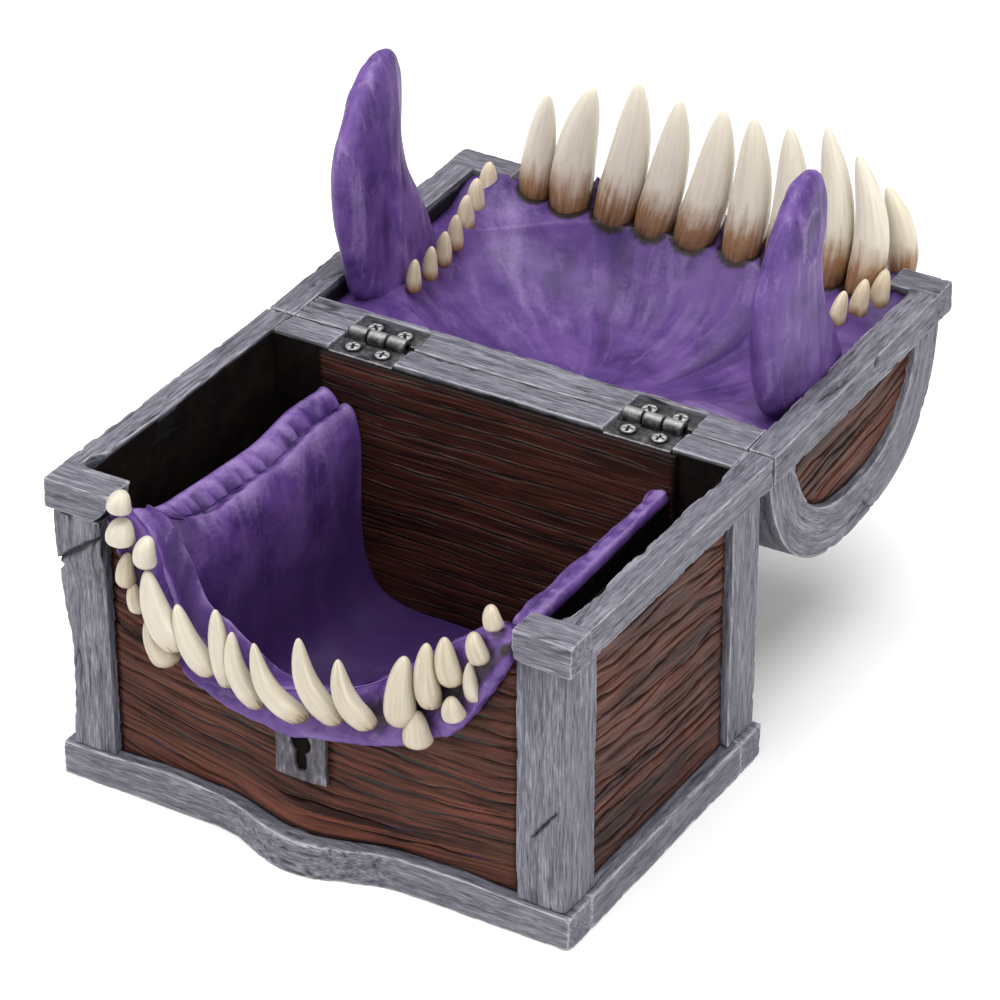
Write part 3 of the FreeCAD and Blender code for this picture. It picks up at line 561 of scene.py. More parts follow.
def block_skin(blocks, cuts, step):
    """Outer skin of a union of boxes less some cuts, on a fine rectilinear grid."""
    lines = []
    for axis in range(3):
        marks = sorted({round(float(end[axis]), 4) for pair in list(blocks) + list(cuts)
                        for end in pair})
        fine = [marks[0]]
        for low, high in zip(marks, marks[1:]):
            count = max(1, int(math.ceil((high - low) / step)))
            fine += list(low + (high - low) * (np.arange(count) + 1) / count)
        lines.append(np.array(fine))
    middles = [(line[1:] + line[:-1]) / 2 for line in lines]
    grid = np.meshgrid(*middles, indexing="ij")

    def within(pair):
        return np.logical_and.reduce([(grid[a] > pair[0][a]) & (grid[a] < pair[1][a])
                                      for a in range(3)])

    solid = np.logical_or.reduce([within(pair) for pair in blocks])
    for pair in cuts:
        solid &= ~within(pair)
    solid = np.pad(solid, 1)
    shape = [len(line) for line in lines]
    quads = []
    for axis in range(3):
        other = [(axis + 1) % 3, (axis + 2) % 3]
        for sign in (1, -1):
            beside = np.roll(solid, -sign, axis)
            cells = np.argwhere(solid & ~beside) - 1
            if sign > 0:
                cells[:, axis] += 1
            corners = []
            for a, b in ((0, 0), (1, 0), (1, 1), (0, 1))[::sign]:
                spot = cells.copy()
                spot[:, other[0]] += a
                spot[:, other[1]] += b
                corners.append((spot[:, 0] * shape[1] + spot[:, 1]) * shape[2] + spot[:, 2])
            quads.append(np.stack(corners, 1))
    used, quads = np.unique(np.concatenate(quads), return_inverse=True)
    quads = quads.reshape(-1, 4)
    index = np.stack(np.unravel_index(used, shape), 1)
    points = np.stack([lines[a][index[:, a]] for a in range(3)], 1)
    return points, outward(points, quads)


def grain_along(axis):
    """Grain coordinates with the fibres along one axis."""
    order = [axis, (axis + 1) % 3, (axis + 2) % 3]
    return lambda points: points[:, order]


def crack_depth(points, crack):
    """0 to 1 inside a lens-shaped crack from one point to another, each (x, y, z)."""
    start, stop, width = np.array(crack[0]), np.array(crack[1]), crack[2]
    run = stop - start
    part = np.clip((points - start) @ run / (run @ run), 0, 1)
    wander = 0.5 * noise(stack(part * 5.0, 0.0, 0.0), 3)
    away = points - start - part[:, None] * run
    away[:, 2] += wander
    away[:, 1] *= 0.2
    gap = np.linalg.norm(away, axis=1)
    half = width * (0.25 + 0.75 * np.sin(part * math.pi) ** 0.8)
    return 1 - smooth_step(gap, half * 0.5, half * 1.25)


def hewn(points, quads, grain, seed, wear=1.0, cracks=()):
    """Displace a timber: uneven faces, fibres, splits and worn edges."""
    normals = normals_of(points, quads)
    sharp = points - relax(points, quads, 2)
    edge = relax(np.clip((sharp * normals).sum(1) / 0.14, -1, 1), quads, 1)[:, 0]
    along, side, depth = grain.T
    fibre = layered(stack(along * 0.045, side * 0.9, depth * 0.9), seed, 3)
    sway = noise(points / 17.0, seed + 5)
    split = noise(stack(along * 0.022, side * 0.30, depth * 0.30), seed + 9)
    where = smooth_step(noise(points / 19.0, seed + 12), 0.10, 0.4)
    split = np.exp(-(split / 0.03) ** 2) * where
    chip = np.clip(noise(points / 2.3, seed + 15) + noise(points / 6.0, seed + 16) - 0.15, 0, 1)
    chip = chip * np.clip(edge, 0, 1) * wear
    open_crack = np.zeros(len(points))
    for crack in cracks:
        open_crack = np.maximum(open_crack, crack_depth(points, crack))
    push = 0.12 * fibre + 0.20 * sway - 0.10 - 0.40 * split - 0.80 * chip - 0.9 * open_crack
    moved = points + normals * push[:, None]
    groove = np.clip(split * 0.95 + smooth_step(-fibre, 0.6, 1.1) * 0.5
                     + smooth_step(-edge, 0.25, 0.9) * 0.85 + open_crack, 0, 1)
    pale = smooth_step(edge, 0.2, 0.7) * (1 - 0.6 * split)
    return moved, groove, pale


def timber(name, nodes, blocks, grain, seed, cuts=(), on_lid=False, step=0.55, warp=None,
           soften=2, wear=1.0, cracks=()):
    """One grey timber from boxes, hewn, with its paint values."""
    points, quads = block_skin(blocks, cuts, step)
    points = relax(points, quads, soften)
    if warp is not None:
        points = warp(points)
    fibres = grain(points)
    # Black painted shade where the timber faces a cavity.
    dark = (inside_lid if on_lid else inside_chest)(points)
    moved, groove, pale = hewn(points, quads, fibres, seed, wear, cracks)
    skin = Skin()
    skin.add(moved, [quads], grain=fibres + seed * 7.7, groove=groove, edge=pale, inside=dark)
    body = "lid" if on_lid else "chest"
    return skin.build(name, body, GREY, nodes, on_lid)


# Each hinge is let into both back rails.
LEAVES = [span("left_hinge_chest_leaf"), span("right_hinge_chest_leaf")]
LID_LEAVES = [span("left_hinge_lid_leaf", True), span("right_hinge_lid_leaf", True)]
MORTISE_DEPTH = 2.05             # below the hinge axis


def mortises(leaves, lid):
    """Boxes cut from a back rail for the leaf and the knuckles of both hinges."""
    room = 0.25
    cuts = []
    for low, high in leaves:
        x0 = low[0] - room
        x1 = high[0] + room
        if lid:
            cuts.append(((x0, -1.0, -MORTISE_DEPTH), (x1, high[1] + room, 3.0)))
        else:
            cuts.append(((x0, low[1] - 3.0, AXIS_Z - MORTISE_DEPTH),
                         (x1, AXIS_Y + 1, AXIS_Z + 3.0)))
    return cuts


def turning_grain(turn, past):
    """Fibres along Y on a side rail, along X past the turn into the front block."""
    def grain(points):
        side = points[:, [1, 2, 0]]
        front = points[:, [0, 1, 2]] + 31.0
        return np.where((past * (points[:, 1] - turn) > 0)[:, None], front, side)
    return grain


def fillet_blocks(corner, side, end, low, high, radius=3.2, steps=5):
    """Stepped blocks that round a concave corner between a rail and its front block."""
    blocks = []
    for index in range(steps):
        share = (index + 0.5) / steps
        wide = radius * (1 - math.sqrt(1 - (1 - share) ** 2))
        y0 = corner[1] + end * radius * index / steps
        y1 = corner[1] + end * radius * (index + 1) / steps
        x_pair = sorted((corner[0], corner[0] - side * wide))
        y_pair = sorted((y0, y1))
        blocks.append(((x_pair[0], y_pair[0], low), (x_pair[1], y_pair[1], high)))
    return blocks


def shape_left_rim(points):
    """Round the left front block's inner end and bow the rail a little."""
    x, y, z = points.T
    drop = np.clip((RIM_HIGH[2] - z) / (RIM_HIGH[2] - RIM_LOW[2]), 0, 1)
    near = smooth_step(x, -51.5, -44.0) * (y < BLOCK_HIGH[1] + 0.5)
    inner = smooth_step(x, -57.0, -53.7)
    past = smooth_step(y, BLOCK_HIGH[1] - 0.3, BLOCK_HIGH[1] + 0.9)
    notch = past * (1 - smooth_step(y, -28.5, -24.5))
    waves = 0.4 * noise(points / 11.0, 8) * past
    return stack(x - 4.2 * near * drop ** 2.2 + inner * (waves - 2.0 * notch), y, z)


def shape_right_rim(points):
    """Wavy inner edge on the right rail, its front block's face slanting outwards below."""
    x, y, z = points.T
    drop = np.clip((RIM_HIGH[2] - z) / (RIM_HIGH[2] - RIM_LOW[2]), 0, 1)
    inner = (x < 54.5) & (y > BLOCK_HIGH[1] + 4)
    front = smooth_step(-y, 38.0, 39.5)
    return stack(x + 0.75 * noise(points / 9.0, 18) * inner, y - 0.5 * front * (drop - 0.6), z)


def make_rims():
    top = RIM_HIGH[2]
    under = RIM_LOW[2]
    splits = [((56.3, 22.5, -LIFT), (57.8, 34.0, -LIFT), 0.42),
              ((59.0, 43.0, -2.2), (59.0, 44.0, -0.4), 0.5)]
    for side, word, shape in ((-1, "left", shape_left_rim), (1, "right", shape_right_rim)):
        rail = "rim_%s_rail" % word
        block = "rim_front_%s_block" % word
        blocks = [span(rail), span(block)]
        corner = (side * (CAVITY_X - 0.1), BLOCK_HIGH[1] - 0.05)
        if side > 0:
            blocks += fillet_blocks(corner, side, 1, under, top)
        timber("rim_" + word, [rail, block], blocks, turning_grain(BLOCK_HIGH[1], -1),
               2 + side, step=0.5, warp=shape, wear=1.5)
        rail = "lid_%s_rail" % word
        block = "lid_front_%s_block" % word
        blocks = [span(rail, True), span(block, True)]
        timber("lid_rim_" + word, [rail, block], blocks, turning_grain(LID_BLOCK_LOW[1], 1),
               6 + side, on_lid=True, step=0.5, wear=1.4, cracks=splits if side > 0 else ())
    timber("rim_back", ["rim_back_rail"], [(BACK_LOW, BACK_HIGH)], grain_along(0), 5,
           mortises(LEAVES, False), step=0.5)
    timber("lid_rim_back", ["lid_back_rail"], [(LID_BACK_LOW, LID_BACK_HIGH)],
           grain_along(0), 8, mortises(LID_LEAVES, True), True, step=0.5)


def make_slot_liners():
    """Thin near-black skins of painted shade on the walls inside both slots, from the floor to
    just under the rim.
    """
    gauge = 0.2
    low = FLOOR_HIGH[2] - 0.05
    high = RIM_HIGH[2] - 0.9
    front = BLOCK_HIGH[1] + 0.12
    back = BACK_LOW[1] - 0.05
    middle = span("back_inner_planks")[1][0]
    for side, word in ((-1, "left"), (1, "right")):
        wall = side * (CAVITY_X - 0.12)
        inner = side * middle
        block = span("rim_front_right_block")[0][0] if side > 0 else BLOCK_HIGH[0]
        plan = [(block, front), (wall, front), (wall, back), (inner, back),
                (inner, back - gauge), (wall - side * gauge, back - gauge),
                (wall - side * gauge, front + gauge), (block, front + gauge)]
        outline = divided(plan, 2.0)
        count = len(outline)
        rows = np.linspace(low, high, 30)
        points = stack(np.tile(outline[:, 0], len(rows)), np.tile(outline[:, 1], len(rows)),
                       np.repeat(rows, count))
        skin = Skin()
        skin.add(points, tube_faces(points, len(rows), count))
        skin.build(word + "_slot_walls", "chest", PAINTED_SHADE, flat=True)


PLINTH_LOW, PLINTH_HIGH = span("plinth_front_rail")
PLINTH_FRONT = -span("plinth_back_rail")[1][1]
BULGE = PLINTH_FRONT - PLINTH_LOW[1]
BULGE_HALF = 22.0


def swell(x):
    """Forward swelling of the chest's foot, 0 to 1, around the lock."""
    reach = np.clip(np.abs(x) / BULGE_HALF, 0, 1)
    return np.cos(reach * math.pi / 2) ** 2


def bow_plinth(points):
    x, y, z = points.T
    share = np.clip((PLINTH_HIGH[1] - y) / (PLINTH_HIGH[1] - PLINTH_FRONT), 0, 1)
    lean = 1.0 - 0.12 * z / PLINTH_HIGH[2]
    forward = (BULGE - 0.2) * swell(x + 0.5) * share * lean
    wave = 1.2 * np.exp(-((x + 33) / 12) ** 2) + 0.6 * np.exp(-((x - 33) / 13) ** 2)
    lift = wave * np.clip(z / PLINTH_HIGH[2], 0, 1) * share
    return stack(x, y - forward, z + lift)


def make_plinth():
    low, high = PLINTH_LOW.copy(), PLINTH_HIGH.copy()
    low[1] = PLINTH_FRONT
    timber("plinth_front", ["plinth_front_rail"], [(low, high)], grain_along(0), 21,
           warp=bow_plinth, step=0.6)
    for side, number in (("left", 22), ("right", 23)):
        node = "plinth_%s_rail" % side
        timber("plinth_" + side, [node], [span(node)], grain_along(1), number, step=0.7)
    timber("plinth_back", ["plinth_back_rail"], [span("plinth_back_rail")], grain_along(0), 24,
           step=0.7)


NOTCH_Z = 50.5                   # height of the notch in the front left post


def bend_left_post(points):
    """Front left post: flush with the rim block above its crack, crooked and slimmer below."""
    x, y, z = points.T
    above = smooth_step(z, NOTCH_Z - 9.0, NOTCH_Z + 9.0)
    front = smooth_step(-y, 36.9, 37.6)
    outer = smooth_step(-x, 50.0, 57.0)
    pinch = 1.8 * np.exp(-((z - NOTCH_Z + 0.5) / 0.8) ** 2)
    slim = smooth_step(-z, -47.0, -30.0) * (1 - 0.55 * smooth_step(-z, -20.0, -9.0))
    y = y - front * (1.35 * above + 0.2)
    return stack(x + outer * (1.9 * slim + 0.9 * pinch), y, z)


def make_posts():
    cracks = {
        "front_left": [((-57.6, -38.8, 50.4), (-46.2, -38.8, 59.4), 0.7),
                       ((-57.4, -34.5, 50.0), (-57.2, -38.6, 50.0), 0.7)],
        "front_right": [((49.8, -37.8, 23.2), (55.0, -37.8, 30.4), 0.36)],
    }
    for number, corner in enumerate(("front_left", "front_right", "back_left", "back_right")):
        node = "post_" + corner
        low, high = span(node)
        side = -1 if "left" in corner else 1
        end = -1 if "front" in corner else 1
        outer_x = low[0] if side < 0 else high[0]
        outer_y = low[1] if end < 0 else high[1]
        inner_y = BLOCK_HIGH[1] if end < 0 else FLOOR_HIGH[1]
        side_plate = sorted((outer_x, side * CAVITY_X))
        end_plate = sorted((outer_y, inner_y))
        blocks = [((low[0], end_plate[0], low[2]), (high[0], end_plate[1], high[2])),
                  ((side_plate[0], low[1], low[2]), (side_plate[1], high[1], high[2]))]
        timber(node + "_timber", [node], blocks, grain_along(2), 31 + number,
               step=0.34 if end < 0 else 0.6, warp=bend_left_post if number == 0 else None,
               cracks=cracks.get(corner, ()))


# ---------------------------------------------------------------- planked fields
def plank_lines(across, bent, spacing, width, seed, wander):
    """Carved lines about one spacing apart: 1 in the middle of a line, 0 away from it."""
    phase = bent / spacing
    strength = np.zeros(len(across))
    for shift in (-1, 0, 1):
        line = np.floor(phase) + shift
        drift = wander * noise(stack(across / 23.0, line * 7.3, seed), 21)
        drift = drift + 0.5 * wander * noise(stack(across / 7.0, line * 3.1, seed), 24)
        centre = (line + 0.5 + drift) * spacing
        live = noise(stack(across / 16.0, line * 5.7, seed + 2.0), 22)
        reach = np.clip(0.75 + 1.1 * live, 0, 1)
        thick = width * (0.75 + 0.6 * noise(stack(across / 5.0, line * 2.3, seed), 23))
        strength = np.maximum(strength, reach * np.exp(-((bent - centre) / thick) ** 2))
    return strength


def plank_relief(across, up, seed, pace=1.0, slope=0.0, wave=1.0):
    """Carved planks: depth in mm, groove, tone, edge light, and the bent coordinate."""
    zero = np.zeros_like(across)
    bent = up + slope * across
    bent = bent + 1.8 * wave * noise(stack(across / 34, up / 15, zero), seed)
    bent = bent + 0.5 * wave * noise(stack(across / 12, up / 6, zero), seed + 1)
    spacing = 2.7 * pace
    strip = np.floor(bent / spacing)
    deep = plank_lines(across, bent, spacing, 0.33, seed, 0.42 * wave)
    fine = plank_lines(across, bent + 0.7, 1.25 * pace, 0.13, seed + 3, 0.35 * wave)
    show = smooth_step(noise(stack(across / 14, up / 5, zero), seed + 4), -0.25, 0.25)
    fine = fine * show
    beside = plank_lines(across, bent - 0.45, spacing, 0.20, seed, 0.42 * wave)
    swell_out = noise(stack(across / 17, bent / 2.4, zero), seed + 6)
    depth = 0.26 * swell_out - 0.90 * deep - 0.34 * fine
    groove = np.clip(0.97 * deep + 0.75 * fine, 0, 1)
    tone = noise(stack(across / 60, strip * 3.7, zero), seed + 7)
    return depth, groove, np.clip(tone * 1.6, -1, 1), beside * (1 - groove), bent


def plank_slab(name, node, across, up, border, frame_of, back_of, seed, pace, slope,
               relief=1.0, wave=1.0, paint=BROWN, on_lid=False):
    """Closed slab: a carved face over a (rows, cols) grid, straight sides and a plain back.

    frame_of(across, up, out) gives points; back_of gives the flat back's points; border is
    1 where painted shade lies along the frame.
    """
    rows, cols = across.shape
    flat_across = across.ravel()
    flat_up = up.ravel()
    depth, groove, tone, rim, bent = plank_relief(flat_across, flat_up, seed, pace, slope, wave)
    shade = border.ravel()
    groove = np.maximum(groove, shade)
    depth = depth - 0.7 * shade
    face = frame_of(flat_across, flat_up, relief * depth)
    grain = stack(flat_across, bent, 0.0) + seed * 3.3
    quads = sheet_faces(rows, cols)
    ring, walls = skirt(rows, cols)
    back = back_of(flat_across[ring], flat_up[ring])
    base = rows * cols
    points = np.concatenate([face, back])
    # Black painted shade (inside = 1) on the slab's back, fading up its sides.
    inner = np.concatenate([np.zeros(base), np.ones(len(ring))])
    more = np.zeros(len(ring))
    skin = Skin()
    skin.add(points, [quads, walls, [list(base + np.arange(len(ring))[::-1])]],
             grain=np.concatenate([grain, grain[ring]]),
             groove=np.concatenate([groove, more + 0.6]),
             tone=np.concatenate([tone, more]), edge=np.concatenate([rim * 0.7, more]),
             inside=inner)
    skin.build(name, "lid" if on_lid else "chest", paint, [node], on_lid)


def grid_over(x0, x1, y0, y1, step, fine=None):
    """Meshgrid of (across, up) with about one step between points."""
    across = np.linspace(x0, x1, int(abs(x1 - x0) / step) + 2)
    up = np.linspace(y0, y1, int(abs(y1 - y0) / (fine or step)) + 2)
    return np.meshgrid(across, up)


def border_shade(across, up, width):
    """1 at the grid's outer edge, fading over a width: painted shade along the frame."""
    near = np.minimum.reduce([across - across.min(), across.max() - across,
                              up - up.min(), up.max() - up])
    return 0.85 * np.exp(-(near / width) ** 2)


def wall_field(name, node, side, seed, slope, fine):
    """Planks of a side wall, facing out along X."""
    low, high = span(node)
    across, up = grid_over(low[1], high[1], low[2], high[2], 0.55, fine)
    outer = high[0] if side > 0 else low[0]
    inner = low[0] if side > 0 else high[0]
    if side < 0:
        across = across[:, ::-1]
    plank_slab(name, node, across, up, border_shade(across, up, 1.2),
               lambda a, u, d: stack(outer + side * d, a, u),
               lambda a, u: stack(inner, a, u), seed, 1.1, slope)


def make_walls():
    wall_field("right_wall_planks", "right_panel", 1, 41, 0.06, 0.2)
    wall_field("left_wall_planks", "left_panel", -1, 45, 0.08, 0.3)
    low, high = span("back_panel")
    across, up = grid_over(low[0], high[0], low[2], high[2], 1.0, 0.3)
    plank_slab("back_wall_planks", "back_panel", across[:, ::-1], up,
               border_shade(across, up, 0.9), lambda a, u, d: stack(a, high[1] + d, u),
               lambda a, u: stack(a, low[1], u), 51, 1.2, 0.03)
    low, high = span("back_inner_planks")
    across, up = grid_over(low[0], high[0], low[2], RIM_HIGH[2] - 1.2, 0.9, 0.22)
    plank_slab("inner_back_planks", "back_inner_planks", across, up,
               border_shade(across, up, 0.7), lambda a, u, d: stack(a, low[1] - 0.8 * d, u),
               lambda a, u: stack(a, high[1] - 0.05, u), 55, 1.05, 0.0, 0.6, 0.45, DIM_BROWN)


# ---------------------------------------------------------------- the mouth
# Lip line and lower edge of the gum from the left corner to the right one: (x, z).
LIP = [(-43.2, 68.4), (-40.4, 65.6), (-35.4, 60.0), (-33.2, 51.5), (-28.3, 40.6),
       (-20.1, 37.2), (-11.6, 35.6), (-2.8, 37.2), (6.4, 40.4), (15.5, 45.6), (22.5, 51.8),
       (28.8, 57.0), (35.4, 62.2), (40.8, 66.2), (45.6, 67.6)]
GUM = [(-43.4, 65.0), (-42.0, 61.0), (-39.2, 53.0), (-34.2, 44.4), (-27.4, 37.4),
       (-20.6, 33.4), (-11.1, 31.2), (-2.6, 30.4), (7.0, 32.4), (15.4, 34.2), (23.2, 36.8),
       (31.0, 41.0), (37.6, 48.2), (42.0, 55.6), (45.6, 62.6)]
PANEL_LOW, PANEL_HIGH = span("front_panel")
PANEL_FACE = span("lower_gum")[1][1]


def teeth_of(node, on_lid=False):
    """Root, tip and radius of each tooth solid in a CAD node, from left to right."""
    mesh = frame["nodes"][node].data
    points = node_points(node)
    keys = {}
    parent = []
    for index, key in enumerate(map(tuple, np.round(points, 3))):
        parent.append(keys.setdefault(key, index))

    def top(index):
        while parent[index] != index:
            parent[index] = parent[parent[index]]
            index = parent[index]
        return index

    for face in mesh.polygons:
        first = top(face.vertices[0])
        for other in face.vertices[1:]:
            parent[top(other)] = first
    groups = {}
    for index in range(len(points)):
        groups.setdefault(top(index), []).append(index)
    found = []
    for members in groups.values():
        cloud = points[members]
        if on_lid:
            cloud = to_lid(cloud)
        centre = cloud.mean(0)
        axis = np.linalg.svd(cloud - centre, full_matrices=False)[2][0]
        axis *= np.sign(axis[2])
        height = (cloud - centre) @ axis
        root = cloud[height < height.min() + 0.25].mean(0)
        tip = cloud[height.argmax()]
        axis = (tip - root) / np.linalg.norm(tip - root)
        away = cloud - root - ((cloud - root) @ axis)[:, None] * axis
        found.append((root, tip, np.linalg.norm(away, axis=1).max()))
    return sorted(found, key=lambda tooth: tooth[0][0])


# Form of a tooth: width at its root, how late it starts to taper, how blunt its tip is.
LOWER_FORM = (0.80, 2.2, 0.50)
PEBBLE_FORM = (0.78, 3.0, 0.45)
UPPER_FORM = (0.86, 2.6, 0.62)
PEBBLE_LENGTH = 9.0              # lower teeth shorter than this are pebbles
# Sideways bow of each lower and upper fang in mm, from left to right.
LOWER_BOWS = (0, 0, 0.3, 1.2, 1.2, 0.3, 1.9, 3.0, 2.4, 2.0, 0.2, 0.4, 0.3, 0, 0)
UPPER_BOWS = (0.6, 1.4, -0.6, -0.5, -1.0, -0.9, -1.2, -2.0, -2.7, -1.2)


def tooth_skin(skin, root, tip, radius, seed, form, bow=0.0, out=0.0, flat=1.0, rings=34,
               around=24):
    """One tooth: a swollen peg with a rounded tip, bowed sideways and outwards."""
    axis = tip - root
    length = np.linalg.norm(axis)
    axis = axis / length
    wide = np.cross(axis, (0.0, -1.0, 0.0))
    wide /= np.linalg.norm(wide)
    deep = np.cross(wide, axis)
    at_root, late, blunt = form
    even = np.linspace(0, 1, rings)
    share = even - 0.14 * np.sin(2 * math.pi * even)
    body = at_root + (1 - at_root) * smooth_step(share, 0, 0.25)
    foot = np.clip(share * length / (0.55 * radius), 0.02, 1)
    size = radius * body * np.clip(1 - share ** late, 0, 1) ** blunt
    size = size * np.sqrt(1 - (1 - foot) ** 2)
    angle = np.arange(around) * 2 * math.pi / around
    share_grid, angle_grid = np.meshgrid(share, angle, indexing="ij")
    flutes = noise(stack(np.cos(angle_grid).ravel() * 1.5, np.sin(angle_grid).ravel() * 1.5,
                         share_grid.ravel() * 1.3), seed).reshape(share_grid.shape)
    size = size[:, None] * (1 + 0.035 * flutes)
    spread = np.cos(angle_grid)[..., None] * wide + np.sin(angle_grid)[..., None] * deep * flat
    sideways = np.array([-axis[2], 0.0, axis[0]])
    curve = np.sin(share_grid * math.pi)[..., None] * (bow * sideways + (0.0, out, 0.0))
    points = root + share_grid[..., None] * axis * length + spread * size[..., None] + curve
    points = points[:-1].reshape(-1, 3)
    rows = rings - 1
    quads = sheet_faces(rows, around, True)
    last = len(points)
    points = np.concatenate([points, [tip, root]])
    ring = np.arange(around)
    after = (ring + 1) % around
    high = (rows - 1) * around
    crown = np.stack([high + ring, high + after, np.full(around, last)], 1)
    foot = np.stack([after, ring, np.full(around, last + 1)], 1)
    level = np.concatenate([share_grid[:-1].ravel(), [1.0, 0.0]])
    turn = np.concatenate([angle_grid[:-1].ravel(), [0.0, 0.0]])
    grain = stack(level * length, np.cos(turn) * radius, np.sin(turn) * radius) + seed * 5.1
    tone = np.full(len(points), 0.5 + 0.5 * math.sin(seed * 12.7))
    skin.add(points, [quads, crown, foot], root=1 - level, tone=tone, grain=grain)


def make_lower_teeth():
    skin = Skin()
    for number, (root, tip, radius) in enumerate(teeth_of("lower_fangs")):
        pebble = np.linalg.norm(tip - root) < PEBBLE_LENGTH
        buried = 0.9 if pebble else 1.6
        root = root + buried * (tip - root) / np.linalg.norm(tip - root)
        tooth_skin(skin, root, tip, radius * (0.97 if pebble else 1.0), 60 + number,
                   PEBBLE_FORM if pebble else LOWER_FORM, LOWER_BOWS[number], -0.6)
    skin.build("lower_jaw_fangs", "chest", LOWER_IVORY, ["lower_fangs"])
    skin = Skin()
    for number, (root, tip, radius) in enumerate(teeth_of("lower_small_teeth")):
        tooth_skin(skin, root, tip, radius, 90 + number, LOWER_FORM, 0.2, -0.5)
    skin.build("lower_jaw_small_teeth", "chest", LOWER_IVORY, ["lower_small_teeth"])


def root_stain(points, teeth, reach, start=0.1):
    """1 beside the roots of teeth, fading between two distances from their sides."""
    near = np.full(len(points), 1e9)
    for root, tip, radius in teeth:
        run = tip - root
        part = np.clip(((points - root) @ run) / (run @ run), radius / np.linalg.norm(run), 0.45)
        gap = np.linalg.norm(points - root - part[:, None] * run, axis=1) - radius
        near = np.minimum(near, gap)
    return 1 - smooth_step(near, start, reach)


def make_lower_gum():
    """Gum along the mouth, a closed loop swept from corner to corner."""
    stations = np.linspace(0, len(LIP) - 1, 300)
    lip = through(LIP, stations)
    low = through(GUM, stations) - (0.0, 1.3)
    face = PANEL_FACE
    loop = [(0.00, face + 0.9, -2.6), (0.0, face + 1.0, -1.0), (0.0, face - 0.1, 0.0),
            (0.10, face - 1.7, -0.2), (0.32, face - 2.8, -0.4), (0.58, face - 3.1, 0.0),
            (0.80, face - 4.0, 0.0), (0.96, face - 3.5, 0.0), (1.0, face - 1.2, 0.1),
            (0.9, face + 0.2, 0.0), (0.45, face + 0.4, 0.0)]
    count = 44
    section = closed_section(loop, count)
    rows = []
    for share, y, lift in section:
        flat = lip + (low - lip) * share
        rows.append(stack(flat[:, 0], y, flat[:, 1] + lift))
    points = np.stack(rows, 1).reshape(-1, 3)
    quads = sheet_faces(len(stations), count, True)[:, ::-1]
    teeth = teeth_of("lower_fangs") + teeth_of("lower_small_teeth")
    near = root_stain(points, teeth, 0.7, 0.0)
    collar = root_stain(points, teeth, 2.6)
    normals = normals_of(points, quads)
    lumps = layered(points / 3.2, 71, 2)
    x = points[:, 0]
    sides = 0.15 + smooth_step(x, 8.0, 17.0) + 0.5 * smooth_step(-x, 30.0, 36.0)
    front = smooth_step(face - 0.4 - points[:, 1], 0.0, 1.2)
    points = points + normals * (front * (0.3 * lumps + 0.9 * collar - 0.2))[:, None]
    share = np.tile(section[:, 0], len(stations))
    between = smooth_step(share, 0.12, 0.3) * (1 - smooth_step(share, 0.55, 0.75)) * front
    stain = np.clip(np.maximum(near * 0.6, sides * between * (0.8 + 0.4 * lumps)), 0, 1)
    stain = stain * (1 - smooth_step(share, 0.75, 0.9))
    ends = [range(count), range(len(points) - 1, len(points) - count - 1, -1)]
    skin = Skin()
    skin.add(points, [quads, ends], stain=stain, edge=np.clip(lumps, 0, 1) * 0.6,
             grain=points[:, [0, 2, 1]])
    skin.build("lower_gum_flesh", "chest", FLESH, ["lower_gum"])


def make_front_panel():
    """Front planks, their top following the gum, their foot swelling with the plinth."""
    low = PANEL_LOW[2]
    tuck = 3.0                       # how far the planks run up behind the gum
    swell_height = 12.0              # where the swelling of the foot has faded out
    columns = np.linspace(PANEL_LOW[0], PANEL_HIGH[0], 240)
    gum = through(GUM, np.linspace(0, len(GUM) - 1, 600))
    brow = np.interp(columns, gum[:, 0], gum[:, 1]) + tuck
    brow = np.minimum(brow, PANEL_HIGH[2])
    rows = np.linspace(0, 1, 230)
    up = low + (brow - low)[None, :] * rows[:, None]
    across = np.tile(columns, (len(rows), 1))
    shade = 0.85 * np.exp(-(np.minimum.reduce([
        across - columns[0], columns[-1] - across, up - low]) / 1.0) ** 2)
    shade = np.maximum(shade, 0.7 * np.exp(-((brow - tuck - up) / 1.3) ** 2))

    def face(a, u, d):
        fade = 1 - smooth_step(u, low, low + swell_height)
        return stack(a, PANEL_FACE - d - (BULGE - 1.6) * swell(a + 0.5) * fade, u)

    def sag(a):
        """Shift that makes the carved lines curve across the front."""
        return 3.2 * np.cos(a / 26.0)

    plank_slab("front_wall_planks", "front_panel", across, up + sag(across), shade,
               lambda a, u, d: face(a, u - sag(a), d),
               lambda a, u: stack(a, PANEL_HIGH[1], u - sag(a)), 57, 1.15, 0.05, wave=0.75)


